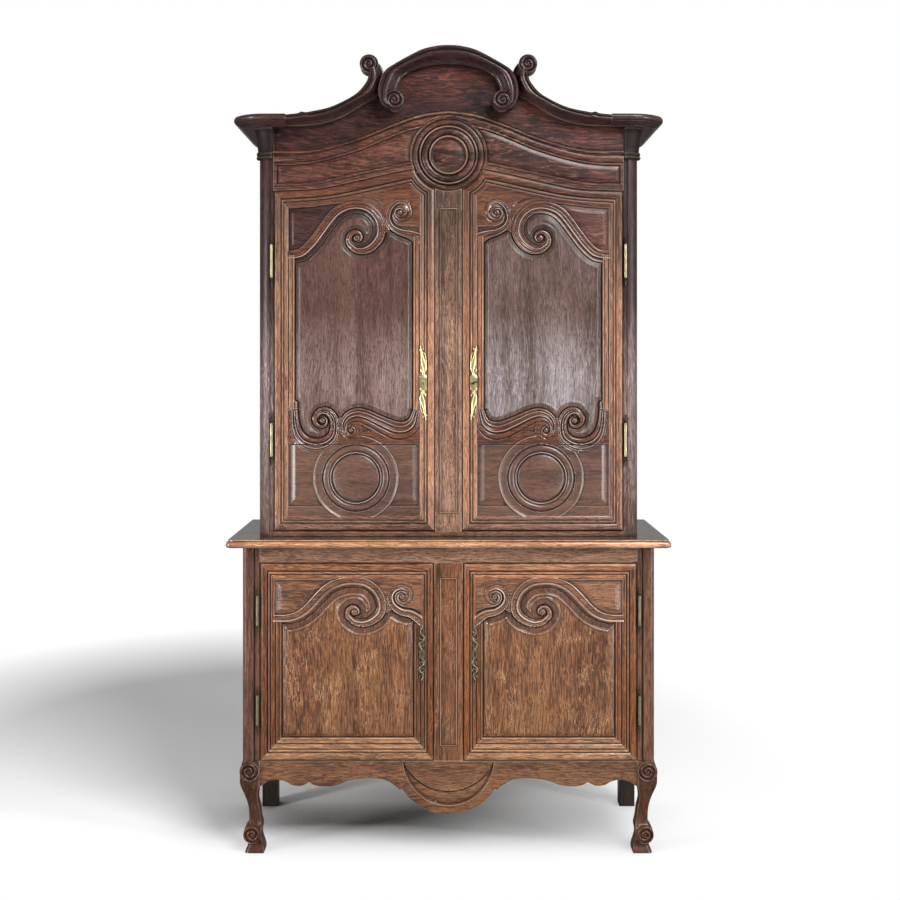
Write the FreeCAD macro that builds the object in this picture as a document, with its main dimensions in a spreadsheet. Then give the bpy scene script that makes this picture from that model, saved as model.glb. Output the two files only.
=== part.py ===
"""A two-piece oak buffet: a base with two doors on scrolled legs, and on its counter an upper cabinet with two
doors under a scrolled cornice. Millimetres. X runs to the right, the front faces -Y, Z is up, and the origin
lies on the floor under the middle of the counter. Left-hand pieces are drawn first and mirrored in X."""
import FreeCAD
import Part
import math
import os
import re

import Sketcher

Vector = FreeCAD.Vector

# Driving sizes, each written once
SIZES = {
    # counter and the two carcasses
    "counter_width": 1328,
    "counter_depth": 542,
    "counter_thickness": 25,
    "counter_height": 947,
    "counter_corner": 14,
    "counter_round": 11,
    "base_width": 1236,
    "base_depth": 500,
    "upper_width": 1152,
    "upper_depth": 455,
    "upper_height": 1238,
    # posts
    "base_post": 51,
    "base_strip": 15,
    "upper_post": 45.5,
    "upper_strip": 12.5,
    "upper_round": 33,
    "post_depth": 60,
    "strip_recess": 3,
    # fixed members of the front
    "front_thickness": 28,
    "base_rail": 48,
    "upper_rail": 15,
    "apron_top": 279,
    "apron_end": 77,
    "lobe_radius": 160.5,
    "base_stile": 86,
    "upper_stile": 80,
    # sides and back
    "side_rail": 80,
    "side_thickness": 26,
    "side_setback": 3,
    "side_panel_inset": 7,
    "back_rail": 60,
    "back_rail_thickness": 26,
    "back_board": 12,
    "back_rebate": 12,
    # boards inside
    "floor_board": 18,
    "shelf_board": 22,
    "bearer_width": 20,
    "bearer_height": 18,
    "base_shelf": 575,
    "upper_shelf_low": 1340,
    "upper_shelf_high": 1680,
    "board_gap": 1,
    "joint_gap": 0.2,
    "peg_radius": 8,
    "peg_seat": 15,
    "peg_rise": 15,
    # doors
    "door_thickness": 28,
    "door_proud": 3,
    "door_gap": 2,
    "base_hinge_stile": 46,
    "upper_hinge_stile": 44,
    "base_lock_stile": 42.5,
    "upper_lock_stile": 47,
    "base_low_rail": 68.5,
    "upper_low_rail": 48,
    "base_top_rail": 49,
    "upper_top_rail": 53,
    "middle_rail_low": 1225,
    "middle_rail": 80,
    "door_top_end": 1996,
    "door_top_mid": 2064,
    "panel_thickness": 12,
    "panel_recess": 10,
    "groove_depth": 10,
    "field_rise": 4,
    "field_margin": 28,
    "boss_radius": 105,
    "boss_height": 1119,
    "boss_rise": 8,
    # medallion and cornice
    "medallion_height": 2104,
    "medallion_radius": 110,
    "medallion_frame": 42,
    "medallion_rise": 10,
    "medallion_ring": 85,
    "capital_height": 93,
    "collar_height": 22,
    "collar_radius": 39,
    "capital_neck": 36,
    "capital_spread": 47,
    "capital_return": 10,
    "cornice_front": 62,
    "cornice_side": 70,
    "cornice_height": 35,
    "cornice_step": 20,
    "cornice_step_height": 14,
    "cornice_corner": 105,
    "cornice_end": 41,
    "frieze_cover": 10,
    "volute_radius": 28,
    "volute_out": 238,
    "volute_rise": 184,
    "stem_out": 208,
    "scroll_out": 162,
    "scroll_rise": 76,
    "arch_rise": 238,
    "arch_band": 48,
    # hinges
    "hinge_out": 6,
    "hinge_front": 4.5,
    "barrel_radius": 5.5,
    "pin_radius": 3,
    "pin_clearance": 0.05,
    "hinge_play": 0.3,
    "leaf_thickness": 2.4,
    "leaf_width": 22,
    "leaf_margin": 5,
    "finial": 16,
    "finial_bead": 4.6,
    "finial_tip": 3,
    "finial_neck": 2.2,
    "base_barrel": 88,
    "upper_barrel": 100,
    "base_hinge_low": 432,
    "base_hinge_high": 731,
    "upper_hinge_low": 1240,
    "upper_hinge_high": 1782,
    # locks
    "key_setback": 34.5,
    "base_lock": 600,
    "upper_lock": 1413,
    "keyhole_radius": 3.3,
    "plate_thickness": 1.6,
    "plate_width": 22,
    "plate_height": 46,
    "plate_chamfer": 3,
    "base_plate_length": 177,
    "upper_plate_length": 224,
    "case_width": 60,
    "case_height": 90,
    "case_depth": 18,
    "case_wall": 2,
    "case_inset": 2,
    "bolt_height": 20,
    "bolt_thickness": 8,
    "bolt_setback": 5,
    "bolt_above_key": 4,
    "bolt_tail": 20,
    "bolt_notch": 13,
    "bolt_notch_height": 7.5,
    "bolt_play": 0.3,
    "shank_radius": 2.5,
    "shank_reach": 22,
    "bit_reach": 10,
    "bit_width": 4,
    "bow_radius": 9,
    "bow_wire": 2,
}

# Places worked out from the sizes
LAYOUT = {
    "back": "counter_depth / 2",
    "base_front": "back - base_depth",
    "upper_front": "back - upper_depth",
    "base_half": "base_width / 2",
    "upper_half": "upper_width / 2",
    "base_inner": "base_half - base_post",
    "upper_inner": "upper_half - upper_post",
    "base_foot": "0",
    "upper_foot": "counter_height",
    "base_top": "counter_height - counter_thickness",
    "upper_top": "counter_height + upper_height",
    "base_floor": "apron_top",
    "upper_floor": "counter_height + upper_rail",
    "base_sill": "apron_top - side_rail",
    "upper_sill": "counter_height",
    "base_head": "base_top - base_rail",
    "upper_head": "door_top_mid + door_gap",
    "base_bolt_edge": "base_stile / 2 + door_gap",
    "upper_bolt_edge": "upper_stile / 2 + door_gap",
    "base_key": "base_bolt_edge + key_setback",
    "upper_key": "upper_bolt_edge + key_setback",
    "base_face": "base_front - door_proud",
    "upper_face": "upper_front - door_proud",
    "cornice_joint": "upper_inner - cornice_end",
    "cornice_face": "upper_front - cornice_front",
    "middle_rail_top": "middle_rail_low + middle_rail",
}

# Outline of the door heads: shares of the way from the hinge post to the medallion, and of the rise
HEAD_CURVE = ((0, 0), (0.32, 0.10), (0.59, 0.44), (0.82, 0.77), (1, 1))

# Leg seen from the front or the side: share of the leg's height, and how far in from the post's face
LEG_FACE = (
    (1, 0), (0.88, -11), (0.74, -5), (0.635, 7), (0.52, 14), (0.40, 16.5), (0.32, 15), (0.247, 3), (0.172, 1),
    (0.118, 7), (0.10, 16),
)
LEG_FOOT = 12
LEG_BACK = ((0.05, 63), (0.19, 54), (0.28, 57), (0.36, 53), (0.48, 49), (0.58, 44), (0.667, 46), (0.75, 51))

# Lower edge of the apron: shares of the way from post to middle, and depth below the apron's top
APRON_SCALLOP = ((0, 77), (0.05, 62), (0.09, 57), (0.135, 62), (0.175, 73), (0.22, 75), (0.263, 64))
APRON_WAVE = ((0.263, 64), (0.30, 74), (0.346, 77), (0.478, 59), (0.59, 53), (0.672, 59), (0.741, 87))
LOBE_START = 0.757

# Swan neck of the cornice: shares of the way from the stem to the cornice end, and height over the posts
SWAN_TOP = ((1, 30), (0.73, 39), (0.546, 50), (0.39, 68), (0.234, 94), (0.138, 125), (0.11, 158))
SWAN_LOW = ((1, 5), (0.70, 9), (0.47, 25), (0.31, 48), (0.15, 78), (0.01, 94))

# Arch of the cornice: share of the way from the middle to the stem, and depth below the arch's top
ARCH_OUTSIDE = ((0, 0), (0.15, 2), (0.37, 12), (0.58, 34), (0.79, 58), (0.90, 73))
ARCH_INSIDE = ((0, 0), (0.26, 4), (0.47, 15), (0.64, 34), (0.725, 61), (0.755, 92))
STEM_EDGE = ((0.985, 113), (0.985, 144), (0.94, 172))

# Upper half of a keyhole plate's leaf: share of the length beyond the plate, and share of the half width
PLATE_LEAF = ((0, 0.8), (0.2, 0.45), (0.45, 0.9), (0.7, 0.6), (1, 0.1))

BACK_BOARDS = 5
FLOOR_BOARDS = 4
SHELF_BOARDS = 2
FAR = 400

doc = FreeCAD.newDocument("Buffet")
sheet = doc.addObject("Spreadsheet::Sheet", "Sizes")
for row, (alias, number) in enumerate(SIZES.items(), start=1):
    sheet.set(f"A{row}", alias)
    sheet.set(f"B{row}", str(number))
    sheet.setAlias(f"B{row}", alias)
doc.recompute()
nodes = []


def bound(text):
    """The expression with its places written out and its sizes read from the sheet."""

    def word(match):
        name = match.group()
        if name in LAYOUT:
            return f"({bound(LAYOUT[name])})"
        return f"Sizes.{name}" if name in SIZES else name

    return re.sub(r"[a-z_]+", word, text)


def size(text):
    return float(sheet.evalExpression(bound(text)))


def node(label, piece):
    """Marks a finished sub-part, whose label names its file."""
    piece.Label = label
    nodes.append(piece)
    return piece


def bar(name, x, y, z):
    """A squared timber between three pairs of planes."""
    piece = doc.addObject("Part::Box", name)
    for side, axis, (low, high) in (("Length", "x", x), ("Width", "y", y), ("Height", "z", z)):
        piece.setExpression(side, bound(f"({high}) - ({low})"))
        piece.setExpression(f"Placement.Base.{axis}", bound(low))
    return piece


def rod(name, radius, x, y, z, length, along="z"):
    """A round bar that starts at a point and runs along Z or Y."""
    piece = doc.addObject("Part::Cylinder", name)
    piece.setExpression("Radius", bound(radius))
    piece.setExpression("Height", bound(length))
    if along == "y":
        piece.Placement.Rotation = FreeCAD.Rotation(Vector(1, 0, 0), -90)
    for axis, place in (("x", x), ("y", y), ("z", z)):
        piece.setExpression(f"Placement.Base.{axis}", bound(place))
    return piece


def ball(name, radius, x, y, z):
    piece = doc.addObject("Part::Sphere", name)
    piece.setExpression("Radius", bound(radius))
    for axis, place in (("x", x), ("y", y), ("z", z)):
        piece.setExpression(f"Placement.Base.{axis}", bound(place))
    return piece


def fuse(name, *pieces):
    result = doc.addObject("Part::MultiFuse", name)
    result.Shapes = list(pieces)
    result.Refine = True
    return result


def cut(name, piece, *tools):
    result = doc.addObject("Part::Cut", name)
    result.Base = piece
    result.Tool = tools[0] if len(tools) == 1 else fuse(f"{name}_tools", *tools)
    return result


def common(name, piece, zone):
    result = doc.addObject("Part::Common", name)
    result.Base = piece
    result.Tool = zone
    return result


def mirror(name, piece):
    """The right-hand twin of a left-hand piece."""
    result = doc.addObject("Part::Mirroring", name)
    result.Source = piece
    result.Normal = Vector(1, 0, 0)
    return result


def group(name, *pieces):
    result = doc.addObject("Part::Compound", name)
    result.Links = list(pieces)
    return result


def pair(name, piece):
    return group(f"{name}_pair", piece, mirror(f"{name}_twin", piece))


def feature(name, shape):
    piece = doc.addObject("Part::Feature", name)
    piece.Shape = shape
    return piece


def left(low, high):
    """A span left of the middle, from two distances out from it, the nearer one first."""
    return f"-({high})", f"-({low})"


def wider(span, by):
    return f"{span[0]} - ({by})", f"{span[1]} + ({by})"


def wire(runs, place):
    """A closed outline: each run of two points is a line, and a longer one a smooth curve."""
    edges = []
    for run in runs:
        points = [place(*point) for point in run]
        if len(points) == 2:
            edges.append(Part.LineSegment(*points).toShape())
            continue
        curve = Part.BSplineCurve()
        curve.interpolate(points)
        edges.append(curve.toShape())
    return Part.Wire(edges)


def sawn(runs, low, high):
    """A board from plane Y low to high, sawn to an outline of points (x, z)."""
    face = Part.Face(wire(runs, lambda x, z: Vector(x, low, z)))
    return face.extrude(Vector(0, high - low, 0))


def flipped(run):
    """The mirrored run, walked the other way."""
    return [(-x, z) for x, z in reversed(run)]


def disc(x, z, radius, low, high):
    return Part.makeCylinder(radius, high - low, Vector(x, low, z), Vector(0, 1, 0))


def boards(name, count, along, spans):
    """Boards side by side, which share one span with gaps between them."""
    low, high = spans[along]
    pitch = f"(({high}) - ({low}) + board_gap) / {count}"
    made = []
    for i in range(count):
        spans = dict(spans)
        spans[along] = (f"({low}) + {i} * {pitch}", f"({low}) + {i + 1} * {pitch} - board_gap")
        made.append(bar(f"{name}_{i + 1}", spans["x"], spans["y"], spans["z"]))
    return made


def edges_where(piece, test):
    """Names of the edges whose middle passes a test."""
    doc.recompute()
    found = []
    for i, edge in enumerate(piece.Shape.Edges, start=1):
        if test(edge.CenterOfMass, edge):
            found.append(i)
    return found


# Curve that parts the frieze from the door heads


def head_run(drop):
    """Points of the left door's head, lowered, from the hinge post to the medallion."""
    outer = size("upper_inner")
    reach = outer - (size("medallion_radius") - 7)
    low = size("door_top_end") - drop
    rise = size("door_top_mid - door_top_end")
    return [(-outer + along * reach, low + up * rise) for along, up in HEAD_CURVE]


def upper_head_zone(name, drop, reach):
    """All that lies above the lowered head curve or within reach of the medallion, on the left."""
    run = head_run(size(drop))
    top = size("upper_head") + FAR
    out = run[0][0] - FAR
    front = size("upper_front")
    runs = [
        [(out, run[0][1]), run[0]],
        run,
        [run[-1], (FAR, run[-1][1])],
        [(FAR, run[-1][1]), (FAR, top)],
        [(FAR, top), (out, top)],
        [(out, top), (out, run[0][1])],
    ]
    zone = sawn(runs, front - FAR, front + FAR)
    radius = size(f"medallion_radius + {reach}")
    return feature(name, zone.fuse(disc(0, size("medallion_height"), radius, front - FAR, front + FAR)))


def base_head_zone(name, drop, reach):
    """All that lies above the lowered head of the left base door, which is straight."""
    return bar(
        name, left(f"-{FAR}", "base_half"), (f"base_front - {FAR}", f"base_front + {FAR}"),
        (f"base_head - ({drop})", f"base_head + {FAR}"),
    )


HEAD_ZONE = {"base": base_head_zone, "upper": upper_head_zone}


# Hinges: the lower knuckle, its pin and its leaf stay on the post, the upper knuckle and leaf go with the door


def hinge(level, place):
    """Post half and door half of one left-hand hinge, and the slots for their leaves."""
    name = f"{level}_hinge_{place}"
    x = f"-({level}_inner + hinge_out)"
    y = f"{level}_front - hinge_front"
    middle = f"{level}_hinge_{place}"
    reach = f"{level}_barrel / 2"

    def end(label, tip, way):
        """The turned end of a barrel: a neck and two beads."""
        return [
            ball(f"{name}_{label}_bead", "finial_bead", x, y, f"{tip} {way} finial / 4"),
            rod(f"{name}_{label}_neck", "finial_neck", x, y, f"{tip} - finial", "finial * 2"),
            ball(f"{name}_{label}_tip", "finial_tip", x, y, f"{tip} {way} finial"),
        ]

    low = f"{middle} - {reach}"
    high = f"{middle} + {reach}"
    post_leaf = (
        (f"{x} - leaf_thickness / 2", f"{x} + leaf_thickness / 2"),
        (y, f"{level}_front + strip_recess + leaf_width"),
        (f"{low} + leaf_margin", f"{middle} - leaf_margin"),
    )
    post_half = fuse(
        f"{name}_post_half",
        rod(f"{name}_lower", "barrel_radius", x, y, low, reach),
        rod(f"{name}_pin", "pin_radius", x, y, f"{middle} - leaf_margin", f"{reach} + leaf_margin - finial"),
        bar(f"{name}_post_leaf", *post_leaf),
        *end("foot", low, "-"),
    )
    door_leaf = (
        (f"{x} - barrel_radius / 4", f"{x} + hinge_out + door_gap + leaf_width"),
        (f"{level}_front", f"{level}_front + leaf_thickness"),
        (f"{middle} + leaf_margin", f"{high} - leaf_margin"),
    )
    bore = rod(
        f"{name}_bore", "pin_radius + pin_clearance", x, y, f"{middle} - hinge_play",
        f"{reach} - finial + hinge_play * 2",
    )
    door_half = cut(
        f"{name}_door_half",
        fuse(
            f"{name}_door_blank",
            rod(f"{name}_upper", "barrel_radius", x, y, f"{middle} + hinge_play", f"{reach} - hinge_play"),
            bar(f"{name}_door_leaf", *door_leaf),
            *end("head", high, "+"),
        ),
        bore,
    )
    slots = [
        bar(f"{name}_{part}_slot", *(wider(span, "joint_gap") for span in leaf))
        for part, leaf in (("post", post_leaf), ("door", door_leaf))
    ]
    return post_half, door_half, slots[0], slots[1]


# Locks


def lock(level):
    """Keyhole plate, lock case and bolt of one left-hand door, and the hole for its key."""
    key = f"-{level}_key"
    height = f"{level}_lock"
    face = f"{level}_face"
    back = f"{level}_face + door_thickness"
    depth = f"{FAR} + door_thickness"
    hole = rod(f"{level}_keyhole", "keyhole_radius", key, f"{face} - {FAR}", height, depth, "y")

    half = size("plate_width / 2")
    plate = size("plate_height / 2")
    beyond = size(f"{level}_plate_length / 2") - plate
    leaf = [(share * half, plate + along * beyond) for along, share in PLATE_LEAF]
    corner = (half, plate - size("plate_chamfer"))
    above = [
        [(half, 0), corner],
        [corner, leaf[0]],
        leaf,
        [leaf[-1], (-leaf[-1][0], leaf[-1][1])],
        flipped(leaf),
        [(-leaf[0][0], leaf[0][1]), (-half, corner[1])],
        [(-half, corner[1]), (-half, 0)],
    ]
    below = [[(-x, -z) for x, z in run] for run in above]
    sheet_face = size(face)
    shape = sawn(above + below, sheet_face - size("plate_thickness"), sheet_face)
    blank = feature(f"{level}_plate_blank", shape)
    blank.Placement.Base = Vector(size(key), 0, size(height))
    escutcheon = cut(f"{level}_plate", blank, hole)

    edge = f"{level}_bolt_edge + case_inset"
    case_x = left(edge, f"{edge} + case_width")
    case_z = (f"{height} - case_height / 2", f"{height} + case_height / 2")
    bolt_y = (f"{back} + bolt_setback", f"{back} + bolt_setback + bolt_thickness")
    bolt_z = (f"{height} + bolt_above_key", f"{height} + bolt_above_key + bolt_height")
    bolt_x = left(f"{edge} + bolt_play", f"{level}_key + bolt_tail")
    case_y = (back, f"{back} + case_depth")
    hollow_y = (f"{back} - case_wall", f"{back} + case_depth - case_wall")
    slot_x = left(f"{edge} - case_wall", f"{edge} + case_wall * 2")
    case = cut(
        f"{level}_case",
        bar(f"{level}_case_blank", case_x, case_y, case_z),
        bar(f"{level}_case_hollow", wider(case_x, "-case_wall"), hollow_y, wider(case_z, "-case_wall")),
        bar(f"{level}_bolt_slot", slot_x, wider(bolt_y, "bolt_play"), wider(bolt_z, "bolt_play")),
    )
    notch = bar(
        f"{level}_bolt_notch", left(f"{level}_key + joint_gap", f"{level}_key + joint_gap + bolt_notch"),
        wider(bolt_y, "case_wall"), (f"{bolt_z[0]} - case_wall", f"{bolt_z[0]} + bolt_notch_height"),
    )
    bolt = cut(f"{level}_bolt", bar(f"{level}_bolt_blank", bolt_x, bolt_y, bolt_z), notch)
    return escutcheon, case, bolt, hole


def key():
    """The key left in the right-hand upper lock, its bit turned away from the middle."""
    back = size("upper_face + door_thickness")
    start = size("upper_face - plate_thickness - shank_reach")
    end = back + size("case_depth - case_wall - bolt_play")
    shank = Part.makeCylinder(size("shank_radius"), end - start, Vector(0, start, 0), Vector(0, 1, 0))
    half = size("bit_width / 2")
    bit_start = back + size("bolt_setback + bolt_play")
    bit_length = size("bolt_thickness - bolt_play * 2")
    bit = Part.makeBox(half * 2, bit_length, size("bit_reach"), Vector(-half, bit_start, 0))
    bit.rotate(Vector(0, 0, 0), Vector(0, 1, 0), 45)
    ring = size("bow_radius")
    centre = Vector(0, start - ring, 0)
    bow = Part.makeTorus(ring, size("bow_wire"), centre, Vector(0, 0, 1))
    bow.rotate(Vector(0, 0, 0), Vector(0, 1, 0), -20)
    piece = feature("upper_key", shank.multiFuse([bit, bow]))
    piece.Placement.Base = Vector(size("upper_key"), 0, size("upper_lock"))
    return node("upper_right_key", piece)


# Doors


def door(level):
    """The left-hand door of a level as loose pieces; the right-hand door mirrors each of them."""
    edge = f"{level}_inner - door_gap"
    inside = f"{level}_bolt_edge"
    depth = (f"{level}_face", f"{level}_face + door_thickness")
    bottom = f"{level}_floor + door_gap"
    head = f"{level}_head"
    zone = HEAD_ZONE[level]
    outside_zone = zone(f"{level}_above_door", "door_gap", "door_gap")
    rail_zone = zone(f"{level}_top_rail_zone", f"door_gap + {level}_top_rail", "door_gap + medallion_frame")

    post_halves, door_halves, post_slots, door_slots = zip(*(hinge(level, place) for place in ("low", "high")))
    escutcheon, case, bolt, hole = lock(level)

    between = left(f"{inside} + {level}_lock_stile", f"{edge} - {level}_hinge_stile")
    low_rail_top = f"{bottom} + {level}_low_rail"
    rails = [bar(f"{level}_low_rail_blank", between, depth, (bottom, low_rail_top))]
    bays = [(low_rail_top, head)]
    if level == "upper":
        rails.append(bar("upper_middle_rail_blank", between, depth, ("middle_rail_low", "middle_rail_top")))
        bays = [(low_rail_top, "middle_rail_low"), ("middle_rail_top", head)]

    panel_y = (f"{level}_face + panel_recess", f"{level}_face + panel_recess + panel_thickness")
    field_y = (f"{panel_y[0]} - field_rise", panel_y[1])
    panels, grooves = [], []
    for i, (low, high) in enumerate(bays, start=1):
        name = f"{level}_panel_{i}"
        reaches_head = high == head

        def sheet_of(part, spread, y):
            """The bay's board, spread past the sight edges and kept under the top rail."""
            blank = bar(f"{name}_{part}_blank", wider(between, spread), y, wider((low, high), spread))
            if not reaches_head:
                return blank
            drop = f"door_gap + {level}_top_rail - ({spread})"
            over = zone(f"{name}_{part}_head", drop, f"door_gap + medallion_frame - ({spread})")
            return cut(f"{name}_{part}", blank, over)

        tongue = sheet_of("tongue", "groove_depth - joint_gap", panel_y)
        raised = [sheet_of("field", "-field_margin", field_y)]
        if level == "upper" and i == 1:
            middle = f"-({inside} + {level}_lock_stile + {edge} - {level}_hinge_stile) / 2"
            start = f"{panel_y[0]} - boss_rise"
            depth_of_boss = "boss_rise + panel_thickness"
            boss = rod(f"{name}_boss", "boss_radius", middle, start, "boss_height", depth_of_boss, "y")
            bay = bar(f"{name}_boss_bay", between, (start, panel_y[1]), (low, high))
            raised.append(common(f"{name}_boss_cut", boss, bay))
        panels.append(fuse(name, tongue, *raised))
        grooves.append(sheet_of("groove", "groove_depth", wider(panel_y, "joint_gap")))

    full = (bottom, head)
    hinge_stile = bar(f"{level}_hinge_stile_blank", left(f"{edge} - {level}_hinge_stile", edge), depth, full)
    lock_stile = bar(f"{level}_lock_stile_blank", left(inside, f"{inside} + {level}_lock_stile"), depth, full)
    top_bar = bar(f"{level}_top_rail_bar", between, depth, (low_rail_top, head))
    top_rail = common(f"{level}_top_rail_blank", top_bar, rail_zone)
    frame = [
        cut(f"{level}_hinge_stile", hinge_stile, outside_zone, *grooves, *door_slots),
        cut(f"{level}_lock_stile", lock_stile, outside_zone, *grooves, hole),
        cut(f"{level}_top_rail_sawn", top_rail, outside_zone, *grooves),
    ]
    frame += [cut(f"{level}_rail_{i}", rail, *grooves) for i, rail in enumerate(rails, start=1)]

    pieces = {
        "frame": group(f"{level}_frame", *frame),
        "panel": group(f"{level}_panel", *panels),
        "hinge_leaves": group(f"{level}_hinge_leaves", *door_halves),
        "keyhole_plate": escutcheon,
        "lock_case": case,
        "bolt": bolt,
    }
    for part, piece in pieces.items():
        node(f"{level}_left_door_{part}", piece)
        node(f"{level}_right_door_{part}", mirror(f"{level}_{part}_right", piece))
    node(f"{level}_hinge_pins", pair(f"{level}_hinge_pins", group(f"{level}_post_halves", *post_halves)))
    return post_slots


# Carcasses


def strip_cut(level):
    """The shallow strip beside the door where the hinge barrels lie."""
    span = left(f"{level}_inner - board_gap", f"{level}_inner + {level}_strip")
    depth = (f"{level}_front - {FAR}", f"{level}_front + strip_recess")
    return bar(f"{level}_strip_cut", span, depth, (f"{level}_floor", f"{level}_top + {FAR}"))


def side(level):
    """Rails and panel of the left side, and the groove for the panel."""
    outer = f"{level}_half - side_setback"
    x = left(f"{outer} - side_thickness", outer)
    y = (f"{level}_front + post_depth", f"back - {level}_post")
    low = (f"{level}_sill", f"{level}_sill + side_rail")
    high = (f"{level}_top - side_rail", f"{level}_top")
    panel_x = left(f"{outer} - side_panel_inset - panel_thickness", f"{outer} - side_panel_inset")
    bay = (low[1], high[0])
    spread = "groove_depth - joint_gap"
    panel = bar(f"{level}_side_panel", panel_x, wider(y, spread), wider(bay, spread))
    groove_y = wider(y, "groove_depth")
    groove = bar(f"{level}_side_groove", wider(panel_x, "joint_gap"), groove_y, wider(bay, "groove_depth"))
    rails = [
        cut(f"{level}_side_rail_{name}", bar(f"{level}_side_rail_{name}_blank", x, y, z), groove)
        for name, z in (("low", low), ("high", high))
    ]
    node(f"{level}_side_rails", pair(f"{level}_side_rails", group(f"{level}_side_rails_left", *rails)))
    node(f"{level}_side_panels", pair(f"{level}_side_panels", panel))
    return groove


def rear(level, groove):
    """Rear posts, and the back of rails and boards in their rebates."""
    post_x = left(f"{level}_inner", f"{level}_half")
    full = (f"{level}_foot", f"{level}_top")
    back_z = (f"{level}_sill", f"{level}_top")
    board_y = ("back - back_board", "back")
    rebate = bar(
        f"{level}_rebate", left(f"{level}_inner - board_gap", f"{level}_inner + back_rebate"),
        wider(board_y, "joint_gap"), (f"{level}_sill", f"{level}_top + board_gap"),
    )
    post = bar(f"{level}_rear_post_blank", post_x, (f"back - {level}_post", "back"), full)
    tools = [rebate, groove]
    if level == "upper":
        tools.append(peg_hole("rear", "upper_half - upper_post / 2", "back - upper_post / 2"))
    node(f"{level}_rear_posts", pair(f"{level}_rear_posts", cut(f"{level}_rear_post", post, *tools)))

    rail_y = ("back - back_board - back_rail_thickness", "back - back_board")
    rail_x = (f"-{level}_inner", f"{level}_inner")
    reach = f"{level}_inner + back_rebate - joint_gap"
    rails = [
        bar(f"{level}_back_rail_low", rail_x, rail_y, (back_z[0], f"{back_z[0]} + back_rail")),
        bar(f"{level}_back_rail_high", rail_x, rail_y, (f"{back_z[1]} - back_rail", back_z[1])),
    ]
    spans = {"x": (f"-({reach})", reach), "y": board_y, "z": back_z}
    upright = boards(f"{level}_back_board", BACK_BOARDS, "x", spans)
    node(f"{level}_back", group(f"{level}_back", *rails, *upright))


def inside_boards(level, name, count, top, thickness, front):
    """Boards that cross the inside between the posts, with a bearer under each end."""
    reach = f"{level}_inner - joint_gap"
    y = (front, "back - back_board - back_rail_thickness")
    spans = {"x": (f"-({reach})", reach), "y": wider(y, "-joint_gap"), "z": (f"{top} - {thickness}", top)}
    made = boards(f"{level}_{name}_board", count, "y", spans)
    below = f"{top} - {thickness}"
    bearer = bar(
        f"{level}_{name}_bearer", left(f"{level}_inner - bearer_width", f"{level}_inner"), y,
        (f"{below} - bearer_height", below),
    )
    return made, pair(f"{level}_{name}_bearer", bearer)


def peg_hole(place, x, y):
    return rod(
        f"peg_hole_{place}", "peg_radius + joint_gap", f"-({x})", y, "counter_height - peg_seat - joint_gap",
        "peg_seat + peg_rise + joint_gap * 2",
    )


# Base


def leg_runs(face, inward, extra):
    """Outline of the left leg: its face edge, its foot and its back edge up to the post."""
    height = size("apron_top")

    def at(share, offset):
        return face + inward * offset, share * height

    outer = [at(share, offset) for share, offset in LEG_FACE]
    inner = [at(share, offset + extra) for share, offset in LEG_BACK]
    toe = at(0, LEG_FOOT)
    heel = at(0, LEG_BACK[0][1] + extra)
    top = at(1, LEG_BACK[-1][1] + extra)
    return [outer, [outer[-1], toe], [toe, heel], [heel, inner[0]], inner, [inner[-1], top], [top, outer[0]]]


def base_front_posts(groove, slots):
    """Front posts with scrolled legs, each sawn to one outline from the front and one from the side."""
    face = size("base_front")
    outer = -size("base_half")
    front_view = leg_runs(outer, 1, size("base_post") - LEG_BACK[-1][1])
    side_view = leg_runs(face, 1, size("post_depth") - LEG_BACK[-1][1])
    from_front = sawn(front_view, face - FAR, face + FAR)
    profile = Part.Face(wire(side_view, lambda y, z: Vector(outer - FAR, y, z)))
    from_side = profile.extrude(Vector(FAR * 2, 0, 0))
    leg = feature("base_leg", from_front.common(from_side))
    post = bar(
        "base_post_blank", left("base_inner", "base_half"), ("base_front", "base_front + post_depth"),
        ("apron_top", "base_top"),
    )
    made = cut("base_front_post", fuse("base_post_with_leg", post, leg), strip_cut("base"), groove, *slots)
    node("base_left_front_post", made)
    node("base_right_front_post", mirror("base_front_post_right", made))


def base_apron():
    """Shaped apron between the front legs, with a round lobe in the middle."""
    inner = size("base_inner")
    top = size("apron_top")
    scale = size("apron_end") / APRON_SCALLOP[0][1]

    def at(along, depth):
        return -inner * (1 - along), top - depth * scale

    radius = size("lobe_radius")
    start_x = -inner * (1 - LOBE_START)
    start = (start_x, top - math.sqrt(radius**2 - start_x**2))
    scallop = [at(*point) for point in APRON_SCALLOP]
    wave = [at(*point) for point in APRON_WAVE]
    front = size("base_front")
    runs = [[(-inner, top), scallop[0]], scallop, wave, [wave[-1], start]]

    def place(x, z):
        return Vector(x, front, z)

    lobe = Part.Arc(place(*start), place(0, top - radius), place(-start[0], start[1])).toShape()
    mirrored = [flipped(run) for run in reversed(runs)]
    head = Part.LineSegment(place(inner, top), place(-inner, top)).toShape()
    edges = list(wire(runs, place).Edges) + [lobe] + list(wire(mirrored, place).Edges) + [head]
    board = Part.Face(Part.Wire(edges)).extrude(Vector(0, size("front_thickness"), 0))
    node("base_apron", feature("base_apron", board))


def base_fixed_front():
    depth = ("base_front", "base_front + front_thickness")
    node("base_top_rail", bar("base_top_rail", ("-base_inner", "base_inner"), depth, ("base_head", "base_top")))
    stile = bar("base_centre_stile", ("-base_stile / 2", "base_stile / 2"), depth, ("apron_top", "base_head"))
    node("base_centre_stile", stile)


def base_inside():
    floor, floor_bearers = inside_boards(
        "base", "floor", FLOOR_BOARDS, "base_floor", "floor_board", "base_front + front_thickness"
    )
    node("base_floor", group("base_floor", *floor))
    shelf, shelf_bearers = inside_boards(
        "base", "shelf", SHELF_BOARDS, "base_shelf + shelf_board", "shelf_board", "base_front + post_depth"
    )
    node("base_shelf", group("base_shelf", *shelf))
    node("base_bearers", group("base_bearers", floor_bearers, shelf_bearers))


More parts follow.
